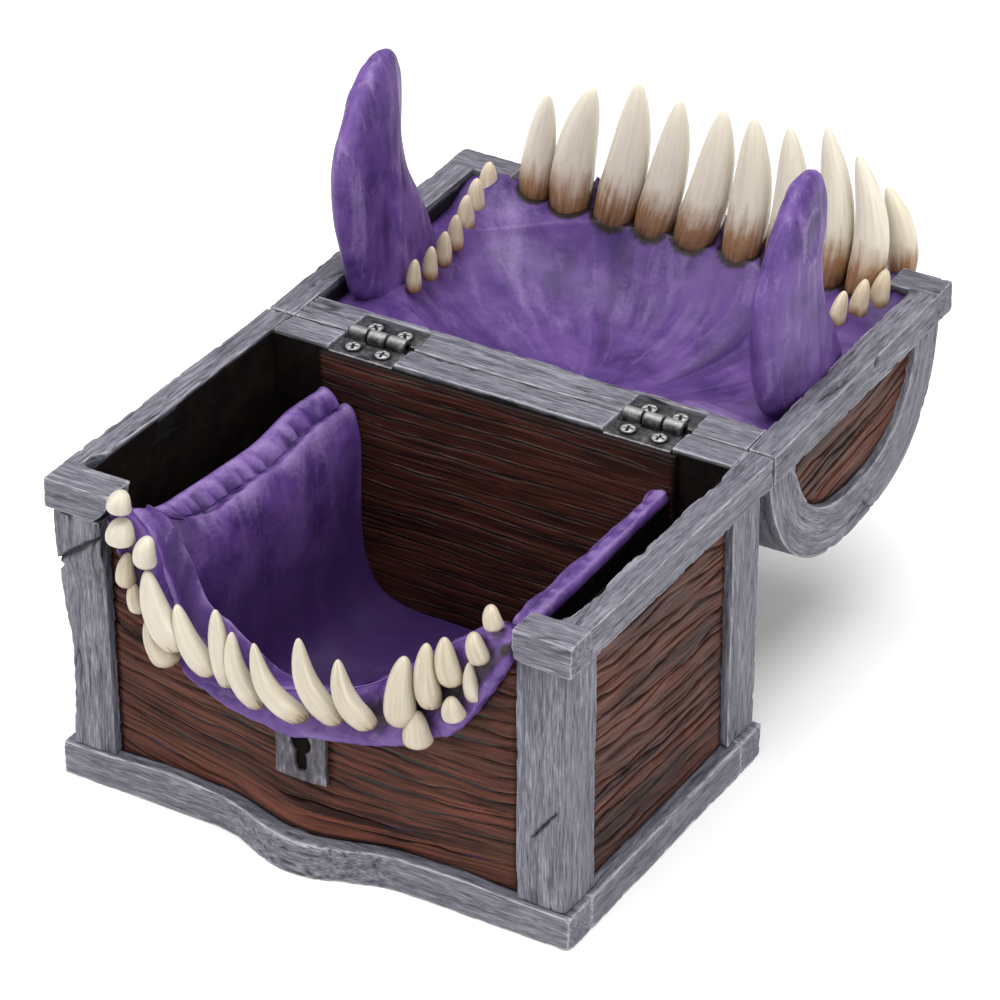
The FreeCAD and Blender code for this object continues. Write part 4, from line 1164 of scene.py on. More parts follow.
def make_lining():
    """Flesh of the basin: left cheek, web, lip, web and right cheek in one draped surface."""
    # Ridge point, inward direction (x, y) and how far the double ridge of a cheek is formed.
    ridge = [
        (-40.4, 30.9, 60.2, 1.0, 0.0, 1.0), (-40.7, 19.0, 60.9, 1.0, 0.0, 1.0),
        (-40.3, 6.0, 59.9, 1.0, 0.0, 1.0), (-40.7, -7.0, 60.3, 1.0, 0.0, 1.0),
        (-41.0, -18.0, 61.0, 1.0, 0.05, 1.0), (-41.2, -26.0, 61.6, 0.96, 0.25, 0.6),
        (-41.9, -31.6, 63.4, 0.80, 0.60, 0.15), (-41.1, -35.2, 65.2, 0.55, 0.83, 0.0),
        (-36.7, -35.7, 61.3, 0.32, 0.95, 0.0), (-33.2, -35.8, 51.5, 0.18, 0.98, 0.0),
        (-28.3, -35.8, 40.6, 0.1, 1.0, 0.0), (-20.1, -35.8, 37.2, 0.05, 1.0, 0.0),
        (-11.6, -35.8, 35.6, 0.0, 1.0, 0.0), (-2.8, -35.8, 37.2, 0.0, 1.0, 0.0),
        (6.4, -35.8, 40.4, 0.0, 1.0, 0.0), (15.5, -35.8, 45.6, 0.0, 1.0, 0.0),
        (22.5, -35.8, 51.8, -0.05, 1.0, 0.0), (28.8, -35.8, 57.0, -0.1, 1.0, 0.0),
        (35.4, -35.7, 62.0, -0.2, 0.98, 0.0), (41.8, -35.2, 65.4, -0.45, 0.9, 0.0),
        (43.6, -31.0, 63.2, -0.78, 0.62, 0.3), (42.4, -25.5, 61.4, -0.97, 0.22, 0.7),
        (41.4, -15.0, 60.8, -1.0, 0.0, 1.0), (40.9, -3.0, 60.4, -1.0, 0.0, 1.0),
        (40.6, 8.0, 60.2, -1.0, 0.0, 1.0), (40.4, 20.0, 60.5, -1.0, 0.0, 1.0),
        (40.0, 30.9, 60.0, -1.0, 0.0, 1.0),
    ]
    ground = span("mouth_floor")[1][2] - 0.4
    stations = np.linspace(0, len(ridge) - 1, 460)
    line = through(ridge, stations)
    top = line[:, :3]
    inward = line[:, 3:5] / np.linalg.norm(line[:, 3:5], axis=1)[:, None]
    form = line[:, 5]
    tall = top[:, 2] - ground
    # Inward offset as a cheek, as a front wall, height share, drop on the left and right.
    profile = [
        (-0.95, -0.2, 0.0, 0.0, 0.0), (-0.95, -0.2, 0.5, 0.0, 0.0),
        (-0.95, -0.25, 0.88, 0.0, 0.0), (-0.75, -0.1, 1.0, 1.3, 1.3),
        (0.2, 0.2, 1.0, 0.1, 0.2), (1.6, 1.0, 1.0, 0.2, 0.0), (2.9, 1.8, 1.0, 1.8, 0.4),
        (3.9, 2.4, 1.0, 3.9, 0.7), (5.0, 2.8, 1.0, 3.6, 0.8), (6.6, 3.1, 1.0, 2.4, 1.6),
        (8.2, 3.4, 0.94, 1.4, 1.8), (9.4, 3.8, 0.80, 0.0, 0.0), (9.4, 4.6, 0.60, 0.0, 0.0),
        (9.3, 6.2, 0.36, 0.0, 0.0), (11.0, 9.0, 0.16, 0.0, 0.0), (15.0, 13.0, 0.05, 0.0, 0.0),
        (22.0, 20.0, 0.01, 0.0, 0.0),
    ]
    right = smooth_step(stations, 18.0, 19.0)
    slim = np.interp(stations, (19.0, 21.0, 26.0), (1.0, 0.80, 0.54))
    # Roll of flesh that runs down from the left cheek behind the lip.
    roll = np.interp(stations, (6.4, 7.3, 8.2, 9.3, 10.6, 11.8, 13.0), (0, 1.2, 4, 7.5, 7, 4, 0))
    weight = (0, 0, 0, 0, 0, 0, 0, 0, 0.15, 0.8, 1.0, 0.95, 0.75, 0.5, 0.3, 0.1, 0)
    cols = []
    for (cheek, wall, share, left_drop, right_drop), lift in zip(profile, weight):
        offset = form * cheek * slim + (1 - form) * (wall + roll * 0.5 * lift)
        drop = left_drop + (right_drop - left_drop) * right
        fall = form * drop + (1 - form) * min(left_drop, 0.4)
        lower = 0.9 if share < 0.95 else 1.0
        height = ground + tall * share * (form + (1 - form) * lower) - fall + roll * lift
        cols.append(stack(top[:, 0] + inward[:, 0] * offset,
                          top[:, 1] + inward[:, 1] * offset, height))
    hub = np.array([0.0, top[0, 1], ground])
    last = cols[-1]
    for share in (0.35, 0.7, 0.97):
        cols.append(last + (hub - last) * share)
    keys = np.stack(cols)                                   # profile, station, xyz
    at = np.linspace(0, len(keys) - 1, 150)
    points = through(keys, at).transpose(1, 0, 2)            # station, profile, xyz
    low = points[:, ::-5].copy()                             # underside, hub to outer wall
    low[:, :, 2] = FLOOR_HIGH[2] + 0.2
    sheet = points.shape[1]
    points = np.concatenate([points, low], 1)
    rows, count = points.shape[:2]
    at = np.concatenate([at, np.full(count - sheet, at[-1])])
    level = np.tile(at, rows)
    above = np.tile(np.arange(count) < sheet, rows)
    along = np.repeat(stations, count)
    points = points.reshape(-1, 3)
    quads, ends = tube_faces(points, rows, count)
    points = relax(points, quads, 8)
    normals = normals_of(points, quads)
    calm = smooth_step(level, 3.2, 5.5) * (1 - 0.7 * smooth_step(level, 14, 17)) * above
    cheek = np.repeat(form, count)
    bulge = np.repeat(roll / roll.max(), count)
    rope = np.repeat(right * form, count)
    folds = layered(stack(along * 0.9, level * 0.16, 0.0), 81, 3)
    ripple = noise(stack(along * 0.35, level * 0.5, 3.0), 85)
    beat = along * 8.0 + 1.6 * noise(stack(along * 1.7, 0.0, 0.0), 83) + 0.25 * (level - 7.0)
    ribs = np.exp(-((level - 6.6) / 1.5) ** 2) * np.abs(np.sin(beat)) ** 1.6 * cheek
    end = np.clip(np.minimum(along, len(ridge) - 1 - along) / 0.32, 0, 1)
    knob = np.sin(np.clip(end * 1.2, 0, 1) * math.pi) * smooth_step(level, 3.5, 4.5)
    knob = knob * (1 - smooth_step(level, 9.5, 11)) * (end < 0.84)
    guard = smooth_step(end, 0.0, 0.5) * above
    push = calm * ((0.42 + 0.25 * rope) * folds + 0.8 * ripple * cheek)
    push = push + (1.25 - 0.9 * rope) * ribs
    points = points + normals * (push * guard + 0.7 * knob * above)[:, None]
    points[:, 1] = np.minimum(points[:, 1], top[0, 1])
    points[:, 2] = np.maximum(points[:, 2], FLOOR_HIGH[2] + 0.2)
    # Black painted shade on the side of the lining that faces down into the slots.
    outer = (1 - smooth_step(level, 2.75, 3.15 + 0.15 * folds)) * above
    # Painted shade in the valley below the cheek ridges and behind the lip roll; fold troughs are
    # darker too.
    valley = np.exp(-((level - 7.4) / 1.1) ** 2)
    hollow = np.clip(valley * cheek * (0.95 - 0.85 * ribs) * (1 - 0.6 * rope)
                     + 0.75 * valley * bulge * (1 - cheek)
                     + smooth_step(-folds, 0.3, 0.9) * calm * 0.5, 0, 1)
    crest = np.exp(-((level - 9.4) / 0.8) ** 2)
    light = np.clip(np.exp(-((level - 4.6) / 0.8) ** 2) + crest * np.maximum(cheek, bulge)
                    + 0.6 * ribs + 0.4 * np.clip(folds, 0, 1) * calm, 0, 1)
    # Painted shade, darker deep down in the basin.
    deep = smooth_step(level, 10.4, 14.0) * 0.9
    grain = stack(level * 3.4, along * 3.2, 0.0)
    skin = Skin()
    skin.add(points, [quads, ends], inside=outer, groove=hollow, edge=light * (1 - deep),
             shade=deep, grain=grain)
    skin.build("mouth_lining", "chest", FLESH,
               ["left_cheek", "right_cheek", "front_lining", "mouth_floor"])


def make_lock():
    """Lock plate with a keyhole, cut as one filled outline and thickened."""
    low, high = span("lock_plate")
    curve = bpy.data.curves.new("lock_plate_outline", "CURVE")
    curve.dimensions = "2D"
    curve.fill_mode = "BOTH"
    curve.extrude = (high[1] - low[1]) / 2 * MM * 0.8
    curve.bevel_depth = 0.16 * MM
    curve.bevel_resolution = 2
    middle_x = (low[0] + high[0]) / 2
    plate = [(low[0], low[2] + 0.2), (middle_x, low[2] - 0.1), (high[0], low[2] + 0.25),
             (high[0] - 0.15, (low[2] + high[2]) / 2), (high[0], high[2]),
             (low[0], high[2]), (low[0] + 0.2, (low[2] + high[2]) / 2)]
    eye_z = low[2] + 8.4
    eye = 2.6
    keyhole = [(middle_x + eye * math.sin(a), eye_z + eye * math.cos(a))
               for a in np.linspace(-2.6, 2.6, 17)]
    keyhole += [(middle_x + side * wide, eye_z - drop) for side, wide, drop in
                ((1, 1.55, 3.2), (1, 1.6, 5.2), (1, 0.9, 6.6),
                 (-1, 0.9, 6.6), (-1, 1.6, 5.2), (-1, 1.55, 3.2))]
    for outline in (plate, keyhole):
        spline = curve.splines.new("POLY")
        spline.points.add(len(outline) - 1)
        for point, (x, z) in zip(spline.points, outline):
            point.co = (x * MM, z * MM, 0, 1)
        spline.use_cyclic_u = True
    source = put_in_scene("lock_plate_outline", curve)
    source.rotation_euler = (math.pi / 2, 0, 0)
    proud = 0.2
    source.location = (0, ((low[1] + high[1]) / 2 - proud) * MM, 0)
    bpy.context.view_layer.update()
    mesh = bpy.data.meshes.new_from_object(source.evaluated_get(
        bpy.context.evaluated_depsgraph_get()))
    mesh.transform(source.matrix_world)
    bpy.data.objects.remove(source)
    mesh.materials.clear()
    mesh.materials.append(PLATE)
    piece = put_in_scene("lock_plate_metal", mesh)
    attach(piece, "chest")
    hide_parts("lock_plate")
    # A near-black block behind the keyhole: painted shade in the hole.
    backing = Skin()
    front = low[1] + 0.55
    points, quads = block_skin([((middle_x - 3.1, front, eye_z - 7.0),
                                 (middle_x + 3.1, high[1], eye_z + 3.1))], (), 0.7)
    backing.add(points, [quads])
    backing.build("keyhole_dark", "chest", PAINTED_SHADE, flat=True)


# ---------------------------------------------------------------- lid
BARREL_NEAR = 1.2
BARREL_FAR = LID_HIGH[1] - 1.6
BARREL_DEPTH = -span("lid_right_arch", True)[0][2]
RAIL_UNDER = LID_LOW[2]
BARREL_TOP = RAIL_UNDER + 0.4    # arches and planks end just inside the rails
ARCH_DEEP = 10.5                 # how far an arch reaches in from the barrel's outside
ARCH_WEB = 4.4                   # gauge of the arch's outer wall, beside the planks' ends
ARCH_FACE = 3.6                  # gauge of the arch's end face
PLANK_INSET = 1.4                # the barrel's planks lie this far inside the arches
PANEL_INSET = 9.6                # outline of an end panel, tucked behind its arch


def barrel_point(turn, inset):
    """Point of the barrel's section at a turn from 0 (hinge side) to pi, inset inwards."""
    low = BARREL_NEAR + inset
    high = BARREL_FAR - inset
    fullness = np.where(turn < math.pi / 2, 2.3, 2.7)
    swing = np.cos(turn)
    across = np.sign(swing) * np.abs(swing) ** (2 / fullness)
    down = np.abs(np.sin(turn)) ** (2 / fullness)
    depth = BARREL_DEPTH - inset
    return (low + high) / 2 - (high - low) / 2 * across, -depth * down


def barrel_turns(step, inset=0.0):
    """Turns spaced evenly along the arch, between the undersides of the rails."""
    fine = np.linspace(0.001, math.pi - 0.001, 4000)
    reach, rise = barrel_point(fine, inset)
    keep = rise < BARREL_TOP
    fine, reach, rise = fine[keep], reach[keep], rise[keep]
    run = np.concatenate([[0], np.cumsum(np.hypot(np.diff(reach), np.diff(rise)))])
    count = int(run[-1] / step)
    marks = np.linspace(0, run[-1], count)
    return np.interp(marks, run, fine), marks


def make_arches():
    post = span("post_front_right")
    face_x = post[1][0]
    inner_x = post[0][0]
    for side, word in ((1, "right"), (-1, "left")):
        turns, marks = barrel_turns(0.55)
        back_x = face_x - ARCH_FACE
        section = divided([(face_x, 0.0), (face_x, ARCH_DEEP), (back_x, ARCH_DEEP),
                           (back_x, ARCH_WEB), (inner_x, ARCH_WEB), (inner_x, 0.0)], 0.55)
        turn, column = np.meshgrid(turns, np.arange(len(section)), indexing="ij")
        mark = np.repeat(marks, len(section))
        inset = section[column.ravel(), 1]
        reach, rise = barrel_point(turn.ravel(), inset)
        rise = np.minimum(rise, BARREL_TOP)
        x = side * section[column.ravel(), 0]
        points = stack(x, reach, rise)
        quads, ends = tube_faces(points, len(turns), len(section))
        points = relax(points, quads, 2)
        grain = stack(mark, inset, x)
        moved, groove, pale = hewn(points, quads, grain, 101 + side)
        skin = Skin()
        crack = np.abs((mark - 0.565 * marks[-1]) + 0.8 * inset + 0.5 * noise(points / 2.0, 9))
        crack = np.exp(-(crack / 0.32) ** 2) * (inset < 5.5) * (side > 0)
        moved = moved - normals_of(points, quads) * (0.6 * crack)[:, None]
        groove = np.maximum(groove, crack)
        skin.add(moved, [quads, ends], grain=grain + 40.0, groove=groove, edge=pale)
        skin.build("lid_arch_" + word, "lid", GREY, ["lid_%s_arch" % word], True)


def make_end_panels():
    for side, word in ((1, "right"), (-1, "left")):
        low, high = span("lid_%s_end_panel" % word, True)
        outer = high[0] if side > 0 else low[0]
        inner = low[0] if side > 0 else high[0]
        turns = np.linspace(0.001, math.pi - 0.001, 600)
        reach, rise = barrel_point(turns, PANEL_INSET)
        columns = np.linspace(reach.min() + 0.02, reach.max() - 0.02, 170)
        foot = np.interp(columns, reach, rise)
        rows = np.linspace(0, 1, 110)
        up = foot[None, :] + (RAIL_UNDER + 0.3 - foot)[None, :] * rows[:, None]
        across = np.tile(columns, (len(rows), 1))
        edge = np.minimum(up - foot[None, :] - 1.0, RAIL_UNDER - up)
        shade = 0.8 * np.exp(-(np.clip(edge, 0, None) / 1.1) ** 2)
        if side < 0:
            across, up, shade = across[:, ::-1], up[:, ::-1], shade[:, ::-1]
        plank_slab("lid_end_planks_" + word, "lid_%s_end_panel" % word, across, up, shade,
                   lambda a, u, d: stack(outer + side * d, a, u),
                   lambda a, u: stack(inner, a, u), 111 + side, 1.2, -0.10, on_lid=True)


def make_barrel():
    """Planks of the barrel in three fields between the arches."""
    half = span("lid_crown_planks", True)[1][0]
    turns, marks = barrel_turns(0.62, PLANK_INSET)
    columns = np.linspace(-half, half, 150)
    third = len(turns) / 3
    for number, word in enumerate(("back", "crown", "front")):
        first = int(round(number * third))
        last = int(round((number + 1) * third))
        turn = turns[first:last + 1]
        mark = marks[first:last + 1]
        across, up = np.meshgrid(columns, mark)
        reach_keys, rise_keys = barrel_point(turn, PLANK_INSET)
        inner_reach, inner_rise = barrel_point(turn, ARCH_WEB)
        dr = np.gradient(reach_keys, mark)
        dz = np.gradient(rise_keys, mark)

        def face(a, u, d):
            reach = np.interp(u, mark, reach_keys)
            rise = np.interp(u, mark, rise_keys)
            return stack(a, reach + d * np.interp(u, mark, dz), rise - d * np.interp(u, mark, dr))

        def back(a, u):
            return stack(a, np.interp(u, mark, inner_reach), np.interp(u, mark, inner_rise))

        plank_slab("lid_planks_" + word, "lid_%s_planks" % word, across[:, ::-1], up,
                   border_shade(across, up, 0.7), face, back, 121 + number, 1.3, 0.02,
                   on_lid=True)


def make_palate():
    """Bowl of flesh across the lid, stretched in folds that fan out to the fangs."""
    rim = span("lid_palate", True)[1][2]
    across, reach = grid_over(-LID_CAVITY_X, LID_CAVITY_X, LID_BACK_HIGH[1] - 0.3,
                              LID_BLOCK_LOW[1] + 0.4, 0.42)
    shape = across.shape
    x = across.ravel()
    s = reach.ravel()
    middle = (LID_BACK_HIGH[1] + LID_BLOCK_LOW[1]) / 2
    half_x = 45.5
    half_s = 28.5
    bowl_depth = 12.6
    skirt_depth = 3.5
    round_out = (np.abs(x) / half_x) ** 2.4 + (np.abs(s - middle) / half_s) ** 2.4
    bowl = -bowl_depth * np.clip(1 - round_out, 0, 1) ** 0.75
    focus = np.array([4.0, 20.0])
    angle = np.arctan2(x - focus[0], s - focus[1])
    far = np.hypot(x - focus[0], s - focus[1])
    fan = layered(stack(angle * 5.2, far * 0.018, 0.0), 131, 3)
    reach_out = smooth_step(far, 8, 30)
    folds = fan * reach_out
    lumps = noise(stack(x / 13, s / 13, 0.0), 135)
    wavy = 0.8 * noise(stack(x / 9, 3.0, 0.0), 137) * smooth_step(s, 56, 70)
    rise = rim + bowl + 0.65 * folds + 0.5 * lumps * np.clip(1 - round_out, 0, 1) + wavy
    rise = rise + 3.0 * smooth_step(s, 59, 70)
    flank = np.abs(x)
    rise = rise + 1.9 * np.exp(-((flank - 45.0) / 3.2) ** 2) * smooth_step(s, 22, 40)
    top = stack(x, s, rise)
    quads = sheet_faces(*shape)
    ring, walls = skirt(*shape)
    under = top[ring].copy()
    under[:, 2] = rim - skirt_depth
    edge_gap = np.minimum.reduce([x - x.min(), x.max() - x, s - s.min()])
    corner = np.exp(-((x - 47.2) / 1.1) ** 2) * smooth_step(s, 66.5, 69.5)
    top[:, 2] -= 2.5 * corner
    # Painted shade along the rails and in the far right corner; fold troughs are darker too.
    hollow = np.clip(0.95 * np.exp(-(edge_gap / 1.2) ** 2) + corner
                     + 0.55 * smooth_step(-folds, 0.2, 0.75), 0, 1)
    light = np.clip(smooth_step(folds, 0.1, 0.8) * 0.7 + 0.2 * lumps, 0, 1)
    stain = root_stain(top, teeth_of("upper_fangs", True), 1.15, 0.6)
    grain = stack(far, angle * 16.0, 0.0)
    pad = np.zeros(len(ring))
    skin = Skin()
    # The shade value of 0.2 darkens the whole palate a little: painted shade.
    skin.add(np.concatenate([top, under]), [quads, walls],
             groove=np.concatenate([hollow, pad]), edge=np.concatenate([light, pad]),
             stain=np.concatenate([stain, pad]), shade=np.full(len(top) + len(ring), 0.2),
             grain=np.concatenate([grain, grain[ring]]))
    skin.build("palate_flesh", "lid", FLESH, ["lid_palate"], True)


def make_upper_gum():
    """Gum ridge that carries the upper fangs, with a lump outside for the last one."""
    high = span("upper_gum", True)[1]
    block = span("lid_front_right_block", True)
    x0 = LID_BLOCK_HIGH[0]
    x1 = block[0][0]
    fangs = teeth_of("upper_fangs", True)
    stations = np.linspace(x0, x1, 190)
    near = LID_BLOCK_LOW[1] - 1.2
    far = LID_HIGH[1] - 1.2
    top = high[2]
    crest = top + 0.5
    loop = [(near, RAIL_UNDER + 0.5), (near, crest - 1.8), (near + 1.4, crest - 0.5),
            (near + 4.2, crest), (far - 0.8, crest - 1.4), (far, crest - 3.6),
            (far, RAIL_UNDER - 0.6), (near + 3.0, RAIL_UNDER - 0.6)]
    count = 40
    section = closed_section(loop, count)
    x, column = np.meshgrid(stations, np.arange(count), indexing="ij")
    points = stack(x.ravel(), section[column.ravel(), 0], section[column.ravel(), 1])
    quads, ends = tube_faces(points, len(stations), count)
    normals = normals_of(points, quads)
    lumps = layered(points / 3.0, 141, 2)
    stain = root_stain(points, fangs, 1.15, 0.5)
    collar = root_stain(points, fangs, 2.8) - stain
    upper = smooth_step(points[:, 2], RAIL_UNDER, top - 3)
    points = points + normals * (upper * (0.35 * lumps + 1.0 * collar - 0.2 * stain))[:, None]
    web_height = 5.5
    roots = np.array([fang[0][0] for fang in fangs[:-1]])
    for middle in (roots[1:] + roots[:-1]) / 2:
        web = np.exp(-((points[:, 0] - middle) / 1.3) ** 2) * upper
        points[:, 2] += web_height * web * smooth_step(points[:, 1], near + 0.8, near + 2.6)
        stain = np.maximum(stain, 0.8 * web)
    skin = Skin()
    skin.add(points, [quads, ends], stain=stain * 0.9, edge=np.clip(lumps, 0, 1) * 0.5,
             grain=points)
    root = fangs[-1][0]
    around, levels = 28, 20
    half_x, half_reach, half_rise = 3.6, 3.4, 4.6        # of the lump round the last fang
    angle, level = np.meshgrid(np.linspace(0, 2 * math.pi, around, endpoint=False),
                               np.linspace(0.06, 0.97, levels) * math.pi)
    lump = stack(root[0] + half_x * np.sin(level) * np.cos(angle),
                 high[1] - 3.9 + half_reach * np.sin(level) * np.sin(angle),
                 top - 5.4 - half_rise * np.cos(level)).reshape(-1, 3)
    lump[:, 1] = np.maximum(lump[:, 1], LID_HIGH[1] - 1.5)
    quads, ends = tube_faces(lump, levels, around)
    skin.add(lump + 0.25 * layered(lump / 3.0, 143, 2)[:, None], [quads, ends],
             stain=root_stain(lump, fangs[-1:], 1.3) * 0.8, grain=lump)
    skin.build("upper_gum_flesh", "lid", FLESH, ["upper_gum"], True)


def make_upper_teeth():
    skin = Skin()
    for number, (root, tip, radius) in enumerate(teeth_of("upper_fangs", True)):
        tooth_skin(skin, root, tip, radius * 1.08, 150 + number, UPPER_FORM,
                   UPPER_BOWS[number], 0.9, 0.84, 44, 30)
    skin.build("upper_jaw_fangs", "lid", UPPER_IVORY, ["upper_fangs"], True)
    for word in ("left", "right"):
        node = "lid_%s_small_teeth" % word
        skin = Skin()
        for number, (root, tip, radius) in enumerate(teeth_of(node, True)):
            tooth_skin(skin, root, tip, radius * 1.05, 170 + number, LOWER_FORM, 0.2, 0.0, 1.0,
                       20, 18)
        skin.build("lid_%s_pegs" % word, "lid", UPPER_IVORY, [node], True)


# Horn outline: rise, edge nearer the hinge, edge further from it, half thickness.
HORN = [(-5.5, 19.0, 47.5, 4.9), (-2.0, 15.6, 46.4, 4.7), (2.0, 14.0, 44.6, 4.5),
        (8.0, 12.4, 42.0, 4.4), (17.0, 10.9, 36.9, 4.3), (26.0, 11.3, 35.5, 4.1),
        (34.0, 14.3, 36.6, 3.8), (40.0, 18.3, 36.8, 3.4), (44.0, 22.0, 35.6, 2.9),
        (46.0, 25.0, 34.4, 2.2), (47.0, 27.4, 33.2, 1.4), (47.4, 29.2, 31.8, 0.6)]


def make_horns():
    """Fins of flesh: an upright outline with a near and a far edge, folded along its height."""
    for side, word in ((-1, "left"), (1, "right")):
        low, high = span(word + "_horn", True)
        middle = (low[0] + high[0]) / 2
        at = np.linspace(0, len(HORN) - 1, 120)
        around = 90
        angle = np.arange(around) * 2 * math.pi / around
        keys = through(HORN, at)
        level, turn = np.meshgrid(np.arange(len(at)), angle, indexing="ij")
        level = level.ravel()
        turn = turn.ravel()
        rise, near, far, half = keys[level].T
        swing = np.cos(turn)
        deep = np.sin(turn)
        reach = (near + far) / 2 + (far - near) / 2 * np.sign(swing) * np.abs(swing) ** 0.9
        if side > 0:
            rise = np.where(rise > 0, rise * 0.96, rise)
        lean = side * (0.4 + 0.7 * smooth_step(rise, 10, 46))
        points = stack(middle + lean + half * deep, reach, rise)
        quads, ends = tube_faces(points, len(at), around)
        normals = normals_of(points, quads)
        ridge = noise(stack(reach / 4.3, rise / 34.0, deep * 0.8), 181 + side)
        ridge = ridge + 0.45 * noise(stack(reach / 2.0, rise / 22.0, deep), 184 + side)
        calm = 1 - 0.7 * smooth_step(rise, 38, 46)
        oval = np.hypot((reach - 27.6) / 4.0, (rise - 33.2) / 5.4)
        shown = (side > 0) * (deep > 0)
        dimple = (1 - smooth_step(oval, 0.7, 1.05)) * shown
        brim = np.exp(-((oval - 1.1) / 0.13) ** 2) * shown
        out = 0.62 * ridge * calm * (1 - dimple) - 0.15 - 0.8 * dimple + 0.2 * brim
        points = points + normals * out[:, None]
        groove = np.clip(smooth_step(-ridge, 0.35, 0.95) * 0.6 + 0.12 * dimple, 0, 1)
        light = smooth_step(ridge, 0.15, 0.9) * (1 - dimple) + smooth_step(rise, 40, 46) * 0.4
        light = light + 1.0 * brim
        grain = stack(rise * 1.4, reach, deep * 4)
        skin = Skin()
        skin.add(points, [quads, ends], groove=groove, edge=np.clip(light, 0, 1) * 0.8,
                 grain=grain + side * 9)
        skin.build(word + "_horn_flesh", "lid", FLESH, [word + "_horn"], True)


# ---------------------------------------------------------------- hinges
LEAF_TOP = -0.95                 # top face of a leaf below the hinge axis
LEAF_GAUGE = 0.9
KNUCKLE = span("left_hinge_chest_leaf")[1][2] - AXIS_Z
BARREL_HALF = 6.8                # half length of a hinge's row of knuckles
MIDDLE_HALF = BARREL_HALF / 3
SCREW_REACH = 4.3
SCREW_STEP = 3.5
SCREW_RADIUS = 1.75
SINK_RADIUS = 1.9                # dark ring round a screw head


def knuckle_roll(skin, start, stop):
    """A rolled knuckle along the hinge axis with softened ends."""
    radius = KNUCKLE - 0.02
    form = [(start, 0.75), (start, radius - 0.25), (start + 0.25, radius)]
    form += [(x, radius) for x in np.linspace(start + 0.6, stop - 0.6, 8)]
    form += [(stop - 0.25, radius), (stop, radius - 0.25), (stop, 0.75)]
    x, size = np.array(form).T
    turn = np.arange(32) * math.pi / 16
    across, angle = np.meshgrid(np.arange(len(x)), turn, indexing="ij")
    across = across.ravel()
    angle = angle.ravel()
    points = stack(x[across], size[across] * np.cos(angle), size[across] * np.sin(angle))
    end = np.minimum(x - start, stop - x)[across]
    # Painted highlight along the upper side of the knuckle.
    skin.add(points, tube_faces(points, len(x), 32), groove=np.exp(-(end / 0.22) ** 2) * 0.9,
             edge=smooth_step(np.sin(angle), 0.5, 0.95) * 0.45)


def screw_head(skin, x, reach, turned):
    """Domed screw head with a cross cut into it."""
    ring = np.concatenate([[0.03], np.linspace(0.1, 0.96, 13), [1.0, 1.0]])
    lift = 0.22 + 0.5 * np.sqrt(np.clip(1 - ring ** 2, 0, 1))
    lift[-1] = -0.15
    level, angle = np.meshgrid(np.arange(len(ring)), np.arange(48) * math.pi / 24,
                               indexing="ij")
    level = level.ravel()
    angle = angle.ravel()
    u = ring[level] * SCREW_RADIUS * np.cos(angle)
    v = ring[level] * SCREW_RADIUS * np.sin(angle)
    cross = np.zeros(len(u))
    for a, b in ((u, v), (v, u)):
        arm = (1 - smooth_step(np.abs(a), 0.2, 0.36)) * (1 - smooth_step(np.abs(b), 1.1, 1.3))
        cross = np.maximum(cross, arm)
    cos, sin = math.cos(turned), math.sin(turned)
    points = stack(x + u * cos - v * sin, reach + u * sin + v * cos,
                   LEAF_TOP + lift[level] - 0.42 * cross)
    # Painted highlight over the dome, outside the cross.
    dome_highlight = (1 - cross) * (1 - smooth_step(ring[level], 0.75, 0.95))
    skin.add(points, tube_faces(points, len(ring), 48),
             groove=np.maximum(cross, smooth_step(ring[level], 0.93, 1.0)), edge=dome_highlight * 0.75)


def make_hinges():
    """Two butt hinges: thin leaves let into the rails, knuckles and cross-head screws."""
    for side, word in ((-1, "left"), (1, "right")):
        low, high = span(word + "_hinge_chest_leaf")
        centre = (low[0] + high[0]) / 2
        half = (high[0] - low[0]) / 2
        far = AXIS_Y - low[1]
        for toward, body in ((-1, "chest"), (1, "lid")):
            gap = 0.12
            spans = [(-MIDDLE_HALF + gap, MIDDLE_HALF - gap)]
            if toward < 0:
                spans = [(-BARREL_HALF, -MIDDLE_HALF - gap), (MIDDLE_HALF + gap, BARREL_HALF)]
            sheet = sorted((toward * 1.9, toward * far))
            blocks = [((centre - half, sheet[0], LEAF_TOP - LEAF_GAUGE),
                       (centre + half, sheet[1], LEAF_TOP))]
            for start, stop in spans:
                tail = sorted((0.0, toward * 2.2))
                blocks.append(((centre + start, tail[0], -KNUCKLE),
                               (centre + stop, tail[1], LEAF_TOP)))
            points, quads = block_skin(blocks, (), 0.35)
            smooth = relax(points, quads, 1)
            edge = np.clip(np.linalg.norm(points - smooth, axis=1) / 0.12, 0, 1)
            hole = np.full(len(points), 9.0)
            screws = Skin()
            for number, step in enumerate((-SCREW_STEP, SCREW_STEP)):
                gap_to = np.hypot(points[:, 0] - centre - step,
                                  points[:, 1] - toward * SCREW_REACH)
                hole = np.minimum(hole, gap_to)
                screw_head(screws, centre + step, toward * SCREW_REACH,
                           0.5 + 1.3 * number + 0.7 * side + toward)
            rim = np.exp(-((hole - SINK_RADIUS) / 0.3) ** 2)
            skin = Skin()
            skin.add(smooth + 0.06 * noise(points / 1.7, 7)[:, None] * (0, 0, 1), [quads],
                     edge=edge * 0.5, groove=np.clip(rim, 0, 1) * 0.9)
            for start, stop in spans:
                knuckle_roll(skin, centre + start, centre + stop)
            for part in (skin, screws):
                if toward < 0:
                    part.points = [points + (0, AXIS_Y, AXIS_Z) for points in part.points]
            skin.build("%s_hinge_%s_side" % (word, body), body, METAL,
                       ["%s_hinge_%s_leaf" % (word, body)], toward > 0)
            screws.build("%s_hinge_%s_screws" % (word, body), body, METAL,
                         ["%s_hinge_screws" % body], toward > 0)


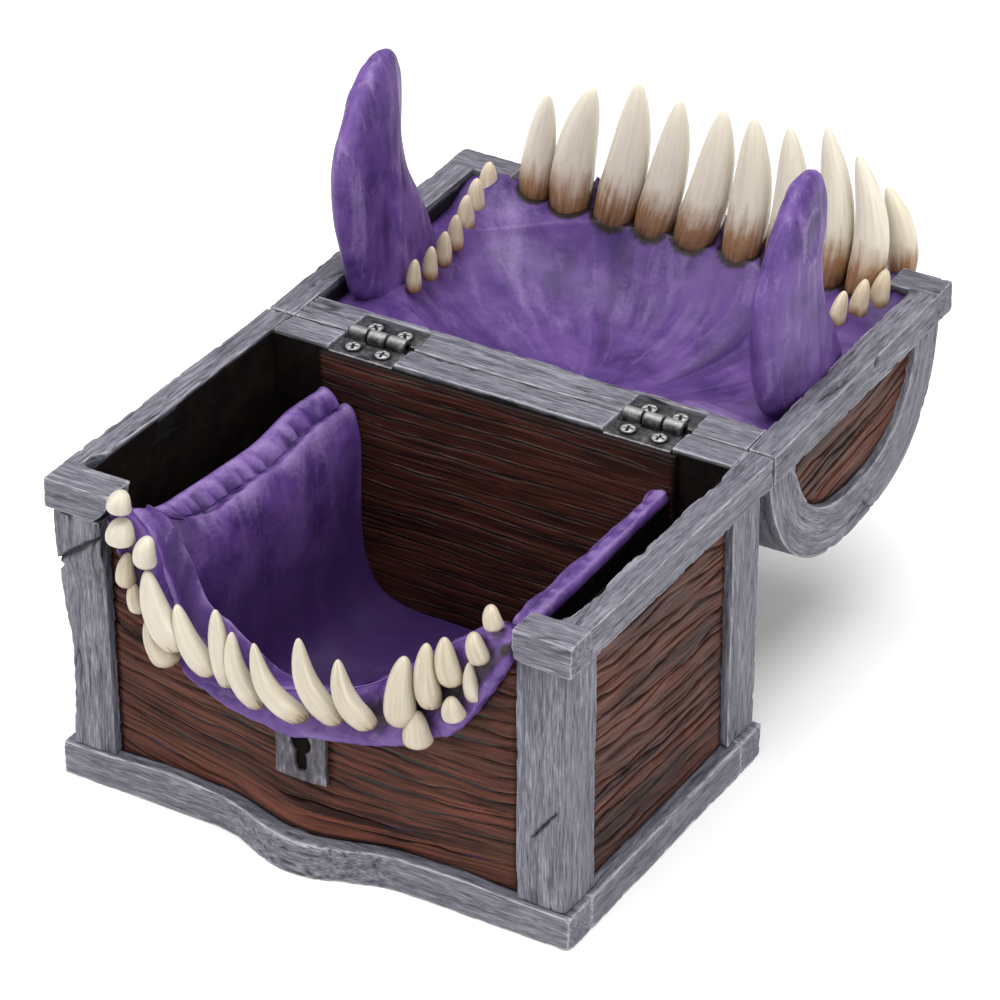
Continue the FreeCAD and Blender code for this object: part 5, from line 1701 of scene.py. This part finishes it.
# ---------------------------------------------------------------- stage
def dress_cad_nodes():
    """Materials for the CAD nodes that stay in view: metal on the hinges, near-black painted
    shade on the rest.
    """
    for name, node in frame["nodes"].items():
        node.data.materials.clear()
        metal = "hinge" in name
        node.data.materials.append(METAL if metal else PAINTED_SHADE)


def make_stage():
    mesh = bpy.data.meshes.new("floor")
    wide = 3.0
    mesh.from_pydata([(-wide, -wide, 0), (wide, -wide, 0), (wide, wide, 0), (-wide, wide, 0)],
                     [], [(0, 1, 2, 3)])
    floor = put_in_scene("floor", mesh)
    paper = Shader("paper", 0.9, specular=0.1)
    mesh.materials.append(paper.finish((0.93, 0.93, 0.93, 1.0)))
    world = bpy.data.worlds.new("studio")
    bpy.context.scene.world = world
    world.use_nodes = True
    world.node_tree.nodes["Background"].inputs[0].default_value = (1, 1, 1, 1)
    world.node_tree.nodes["Background"].inputs[1].default_value = 0.42
    lights = [("overhead", (0.05, -0.1, 0.9), (0, 0, 0), 1.0, 12.5),
              ("front_left", (-0.7, -0.8, 0.55), (60, 0, -41), 0.7, 6.0),
              ("right", (0.95, -0.35, 0.5), (62, 0, 70), 0.6, 4.5)]
    for name, place, turn, wide, power in lights:
        lamp = bpy.data.lights.new(name, "AREA")
        lamp.shape = "SQUARE"
        lamp.size = wide
        lamp.energy = power
        holder = put_in_scene(name, lamp)
        holder.location = place
        holder.rotation_euler = Euler([math.radians(angle) for angle in turn])
    bpy.context.scene.view_settings.view_transform = "Standard"


def make_camera():
    lens = bpy.data.cameras.new("camera")
    lens.lens = 162.1
    lens.sensor_width = 36.0
    lens.clip_start = 0.01
    camera = put_in_scene("camera", lens)
    camera.location = (0.3981, -0.6317, 0.5176)
    azimuth, elevation = math.radians(30.886), math.radians(31.391)
    camera.rotation_euler = Euler((math.pi / 2 - elevation, 0, azimuth))
    bpy.context.scene.camera = camera


make_camera()
dress_cad_nodes()
make_rims()
make_plinth()
make_posts()
make_walls()
make_front_panel()
make_lower_teeth()
make_lower_gum()
make_lining()
make_lock()
make_arches()
make_end_panels()
make_barrel()
make_palate()
make_upper_gum()
make_upper_teeth()
make_horns()
make_hinges()
make_slot_liners()
make_stage()
